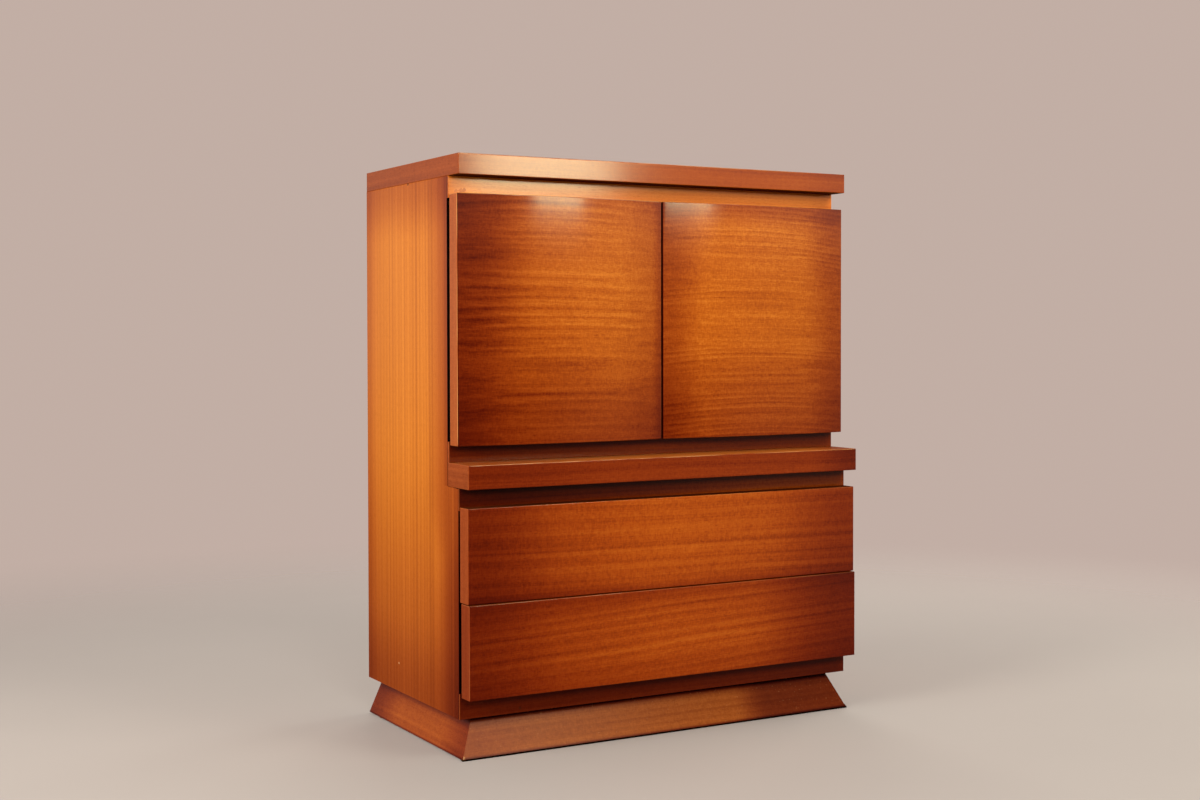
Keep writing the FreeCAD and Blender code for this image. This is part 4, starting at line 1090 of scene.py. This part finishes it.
# %% Dress the inner pieces and fittings
INSIDE_FIGURE = 0.6
INSIDE_SHADES = ((0.30, 0.085, 0.022), (0.42, 0.135, 0.036), (0.52, 0.190, 0.058))
for node, seed in (("cupboard_floor", 51.0), ("cupboard_shelf", 52.0)):
    low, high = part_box(node)
    veneer = mahogany(
        f"{node}_veneer", X, low, high, seed, figure=INSIDE_FIGURE, shades=INSIDE_SHADES,
    )
    dress(node, veneer)
for node in ("rear_top_rail", "drawer_divider", "case_bottom", "plinth_back", "plinth_front_cleat"):
    dress(node, pale_along_x)
RUNNERS = [f"{level}_{side}_runner" for level in ("upper", "lower") for side in ("left", "right")]
for node in RUNNERS + ["plinth_left_cleat", "plinth_right_cleat"]:
    dress(node, pale_along_y)
for side in ("left", "right"):
    for part in ("case_leaf", "door_leaf", "pin", "case_screws", "door_screws"):
        dress(f"{side}_hinge_{part}", gap_shade_brass)
    dress(f"{side}_strike", steel)
    dress(f"{side}_catch", enamel)
dress("shelf_pins", brass)
dress("floor_glides", enamel)
for level in ("upper", "lower"):
    dress(f"{level}_drawer_screws", steel)
    dress(f"{level}_drawer_bottom", plywood)

# %% [markdown]
# ## Drawer boxes
# A good chest of this kind has boxes joined with through dovetails: the sides end in tails, and the pins of
# the front and back boards come through to the outside. Each side is a board with a runner groove and pin
# sockets cut out of it, and each cross board has wedge-shaped pins added to it. The groove is ploughed once
# the box is together, so it runs through the pins too. Cutting solids from solids is a job for exact
# booleans, applied at once so that the piece that is left is one clean mesh.


# %% Cutting and joining helper
def combined(shape, tools, operation):
    """One bmesh cut by, or joined with, a list of others."""
    mesh = bpy.data.meshes.new("work")
    shape.to_mesh(mesh)
    shape.free()
    work = bpy.data.objects.new("work", mesh)
    bpy.context.scene.collection.objects.link(work)
    holders = []
    for index, tool in enumerate(tools):
        tool_mesh = bpy.data.meshes.new(f"tool_{index}")
        tool.to_mesh(tool_mesh)
        tool.free()
        holder = bpy.data.objects.new(f"tool_{index}", tool_mesh)
        bpy.context.scene.collection.objects.link(holder)
        step = work.modifiers.new(f"tool_{index}", "BOOLEAN")
        step.operation = operation
        step.solver = "EXACT"
        step.object = holder
        holders.append(holder)
    bpy.context.view_layer.update()
    result = bmesh.new()
    result.from_mesh(work.evaluated_get(bpy.context.evaluated_depsgraph_get()).to_mesh())
    for thing in [work] + holders:
        old = thing.data
        bpy.data.objects.remove(thing)
        bpy.data.meshes.remove(old)
    return result


PIN_COUNT = 4
PIN_NARROW = 0.005
PIN_WIDE = 0.011


def pin_wedges(x_from, x_to, y_outer, y_inner, z_low, z_high, play):
    """Wedges for the pins of one corner, narrow on the outside of the cross board, wide on its inside."""
    wedges = []
    for index in range(PIN_COUNT):
        middle = z_low + (z_high - z_low) * (index + 0.5) / PIN_COUNT
        narrow, wide = PIN_NARROW / 2 + play, PIN_WIDE / 2 + play
        outline = [
            (x_from, y_outer, middle - narrow), (x_from, y_outer, middle + narrow),
            (x_from, y_inner, middle + wide), (x_from, y_inner, middle - wide),
        ]
        wedges.append(pulled(outline, Vector((x_to - x_from, 0, 0))))
    return wedges


print("cutting helper ready:", PIN_COUNT, "pins to a corner")

# %% [markdown]
# The sides are cut first, then the cross boards, with the same wedges: grown by a little play for the
# sockets, and true for the pins. The first millimetres of each box, behind its front, are painted dark as the
# shade in the narrow gap there.

# %% Box sides, fronts and backs
SOCKET_PLAY = 0.0002
GROOVE_PLAY = 0.0005
GROOVE_RELIEF = 0.001
OVERCUT = 0.002
BOX_ARRIS = 0.0008
BOX_ARRIS_STEPS = 2
END_RING_WIDTH = 0.003
PALE_END = ((0.30, 0.15, 0.06), (0.40, 0.23, 0.10), (0.48, 0.29, 0.14))


def corner_wedges(x_from, x_to, cross_low, cross_high, outer_is_front, play=0.0):
    """The pins of one corner of a box, grown by the play where they are used to cut sockets."""
    y_outer, y_inner = (cross_low.y, cross_high.y) if outer_is_front else (cross_high.y, cross_low.y)
    return pin_wedges(x_from, x_to, y_outer, y_inner, cross_low.z, cross_high.z, play)


for body in DRAWERS:
    level = body.split("_")[0]
    cross = {part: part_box(f"{body}_{part}") for part in ("box_front", "back")}
    box_start = cross["box_front"][0].y
    pale_deep = plain_timber(f"{body}_box_deep", Y, PALE_WOOD, gap_shade_from=box_start)
    pale_across = plain_timber(f"{body}_box_across", X, PALE_WOOD)
    pale_end = plain_timber(f"{body}_box_end", X, PALE_END, END_RING_WIDTH, gap_shade_from=box_start)
    grooves = []
    for side, sign in (("left", -1), ("right", 1)):
        node = f"{body}_{side}_side"
        low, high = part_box(node)
        runner_low, runner_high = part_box(f"{level}_{side}_runner")
        outer = low.x if sign < 0 else high.x
        inner = high.x if sign < 0 else low.x
        floor_x = (runner_high.x + GROOVE_PLAY) if sign < 0 else (runner_low.x - GROOVE_PLAY)
        across = sorted((outer + sign * OVERCUT, floor_x))
        groove_low = Vector((across[0], low.y - OVERCUT, runner_low.z - GROOVE_RELIEF))
        groove_high = Vector((across[1], high.y + OVERCUT, runner_high.z))
        grooves.append((groove_low, groove_high))
        tools = [block(groove_low, groove_high)]
        for part, (cross_low, cross_high) in cross.items():
            ends = (inner - sign * OVERCUT, outer + sign * OVERCUT)
            tools += corner_wedges(*ends, cross_low, cross_high, part == "box_front", SOCKET_PLAY)
        shape = block(low, high)
        soften(shape, BOX_ARRIS, BOX_ARRIS_STEPS)
        shape = combined(shape, tools, "DIFFERENCE")
        add_piece(f"{node}_board", shape, [pale_deep], body, [node])
    for part, (cross_low, cross_high) in cross.items():
        wedges = []
        for side, sign in (("left", -1), ("right", 1)):
            side_low, side_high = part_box(f"{body}_{side}_side")
            inner, outer = (side_high.x, side_low.x) if sign < 0 else (side_low.x, side_high.x)
            wedges += corner_wedges(inner - sign * OVERCUT, outer, cross_low, cross_high, part == "box_front")
        shape = combined(block(cross_low, cross_high), wedges, "UNION")
        shape = combined(shape, [block(*corners) for corners in grooves], "DIFFERENCE")
        node = f"{body}_{part}"
        add_piece(f"{node}_board", shape, [pale_across, pale_end], body, [node], is_end)

# %% [markdown]
# ## Back boards
# Two sheets of plywood close the back, each nailed round its rim. The sheets are set a hair below the
# case's back so that the low domed nail heads end flush with it.

# %% Back boards and nails
NAIL_RADIUS = 0.0028
NAIL_DOME = 0.0009
NAIL_EDGE = 0.010
NAIL_PITCH = 0.075
NAIL_SIDES = 12
NAIL_TAPER = 0.55
SHEET_ARRIS = 0.0005


def nail_spots(low, high):
    """Places round the rim of a sheet, evenly spaced, as (x, z)."""
    spots = []
    width, tall = high.x - low.x - 2 * NAIL_EDGE, high.z - low.z - 2 * NAIL_EDGE
    columns, rows = round(width / NAIL_PITCH), round(tall / NAIL_PITCH)
    for index in range(columns + 1):
        x = low.x + NAIL_EDGE + width * index / columns
        spots += [(x, low.z + NAIL_EDGE), (x, high.z - NAIL_EDGE)]
    for index in range(1, rows):
        z = low.z + NAIL_EDGE + tall * index / rows
        spots += [(low.x + NAIL_EDGE, z), (high.x - NAIL_EDGE, z)]
    return spots


SHEET_DRIFT = {"upper_back_panel": (0.0, 0.0, 0.0), "lower_back_panel": (1.3, 0.4, 2.2)}
for node, drift in SHEET_DRIFT.items():
    low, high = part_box(node)
    face = peeled_timber(f"{node}_face", Z, PLY_WOOD, drift)
    sheet_high = Vector((high.x, high.y - NAIL_DOME, high.z))
    shape = block(low, sheet_high)
    soften(shape, SHEET_ARRIS, 1)
    add_piece(f"{node}_sheet", shape, [face], "case", [node])
    heads = bmesh.new()
    for x, z in nail_spots(low, high):
        centre = Matrix.Translation((x, high.y - NAIL_DOME, z)) @ Matrix.Rotation(-math.pi / 2, 4, "X")
        bmesh.ops.create_cone(
            heads, cap_ends=True, segments=NAIL_SIDES, radius1=NAIL_RADIUS, radius2=NAIL_RADIUS * NAIL_TAPER,
            depth=2 * NAIL_DOME, matrix=centre,
        )
    add_piece(f"{node}_nails", heads, [steel], "case", [])

# %% [markdown]
# ## The floor
# A pale plain floor that fades into the backdrop, so that no horizon shows from any side.

# %% Pale floor
FLOOR_RADIUS = 6.0
FLOOR_FADE = (1.4, 3.6)
FLOOR_TONE = (0.315, 0.305, 0.350)
FLOOR_GLOW = (0.10, 0.087, 0.080)
FLOOR_GLOSS = 0.55
FLOOR_SHEEN = 0.16
FLOOR_SIDES = 96
FLOOR_MOTTLE = (0.5, 0.5, 3.0)
FLOOR_TONES = (0.97, 1.03)
shape = bmesh.new()
bmesh.ops.create_circle(shape, cap_ends=True, segments=FLOOR_SIDES, radius=FLOOR_RADIUS)
mesh = bpy.data.meshes.new("floor")
shape.to_mesh(mesh)
shape.free()
floor = bpy.data.objects.new("floor", mesh)
bpy.context.scene.collection.objects.link(floor)
floor.visible_glossy = False
floor_paint, place, shader = new_finish("floor_paint")
radius = place.node("ShaderNodeVectorMath", {"operation": "LENGTH"}, {0: place}, VECTOR_NUMBER)
mottle = noise(place, X, *FLOOR_MOTTLE)
darker, paler = ([share * part for part in FLOOR_TONE] for share in FLOOR_TONES)
feed(shader, "Base Color", mixed(0.5 + mottle, darker, paler))
feed(shader, "Alpha", 1.0 - radius.between(*FLOOR_FADE))
shader.inputs["Roughness"].default_value = FLOOR_GLOSS
shader.inputs["Emission Color"].default_value = (*FLOOR_GLOW, 1.0)
shader.inputs["Emission Strength"].default_value = 1.0
shader.inputs["Specular IOR Level"].default_value = FLOOR_SHEEN
mesh.materials.append(floor_paint)
print("floor laid")
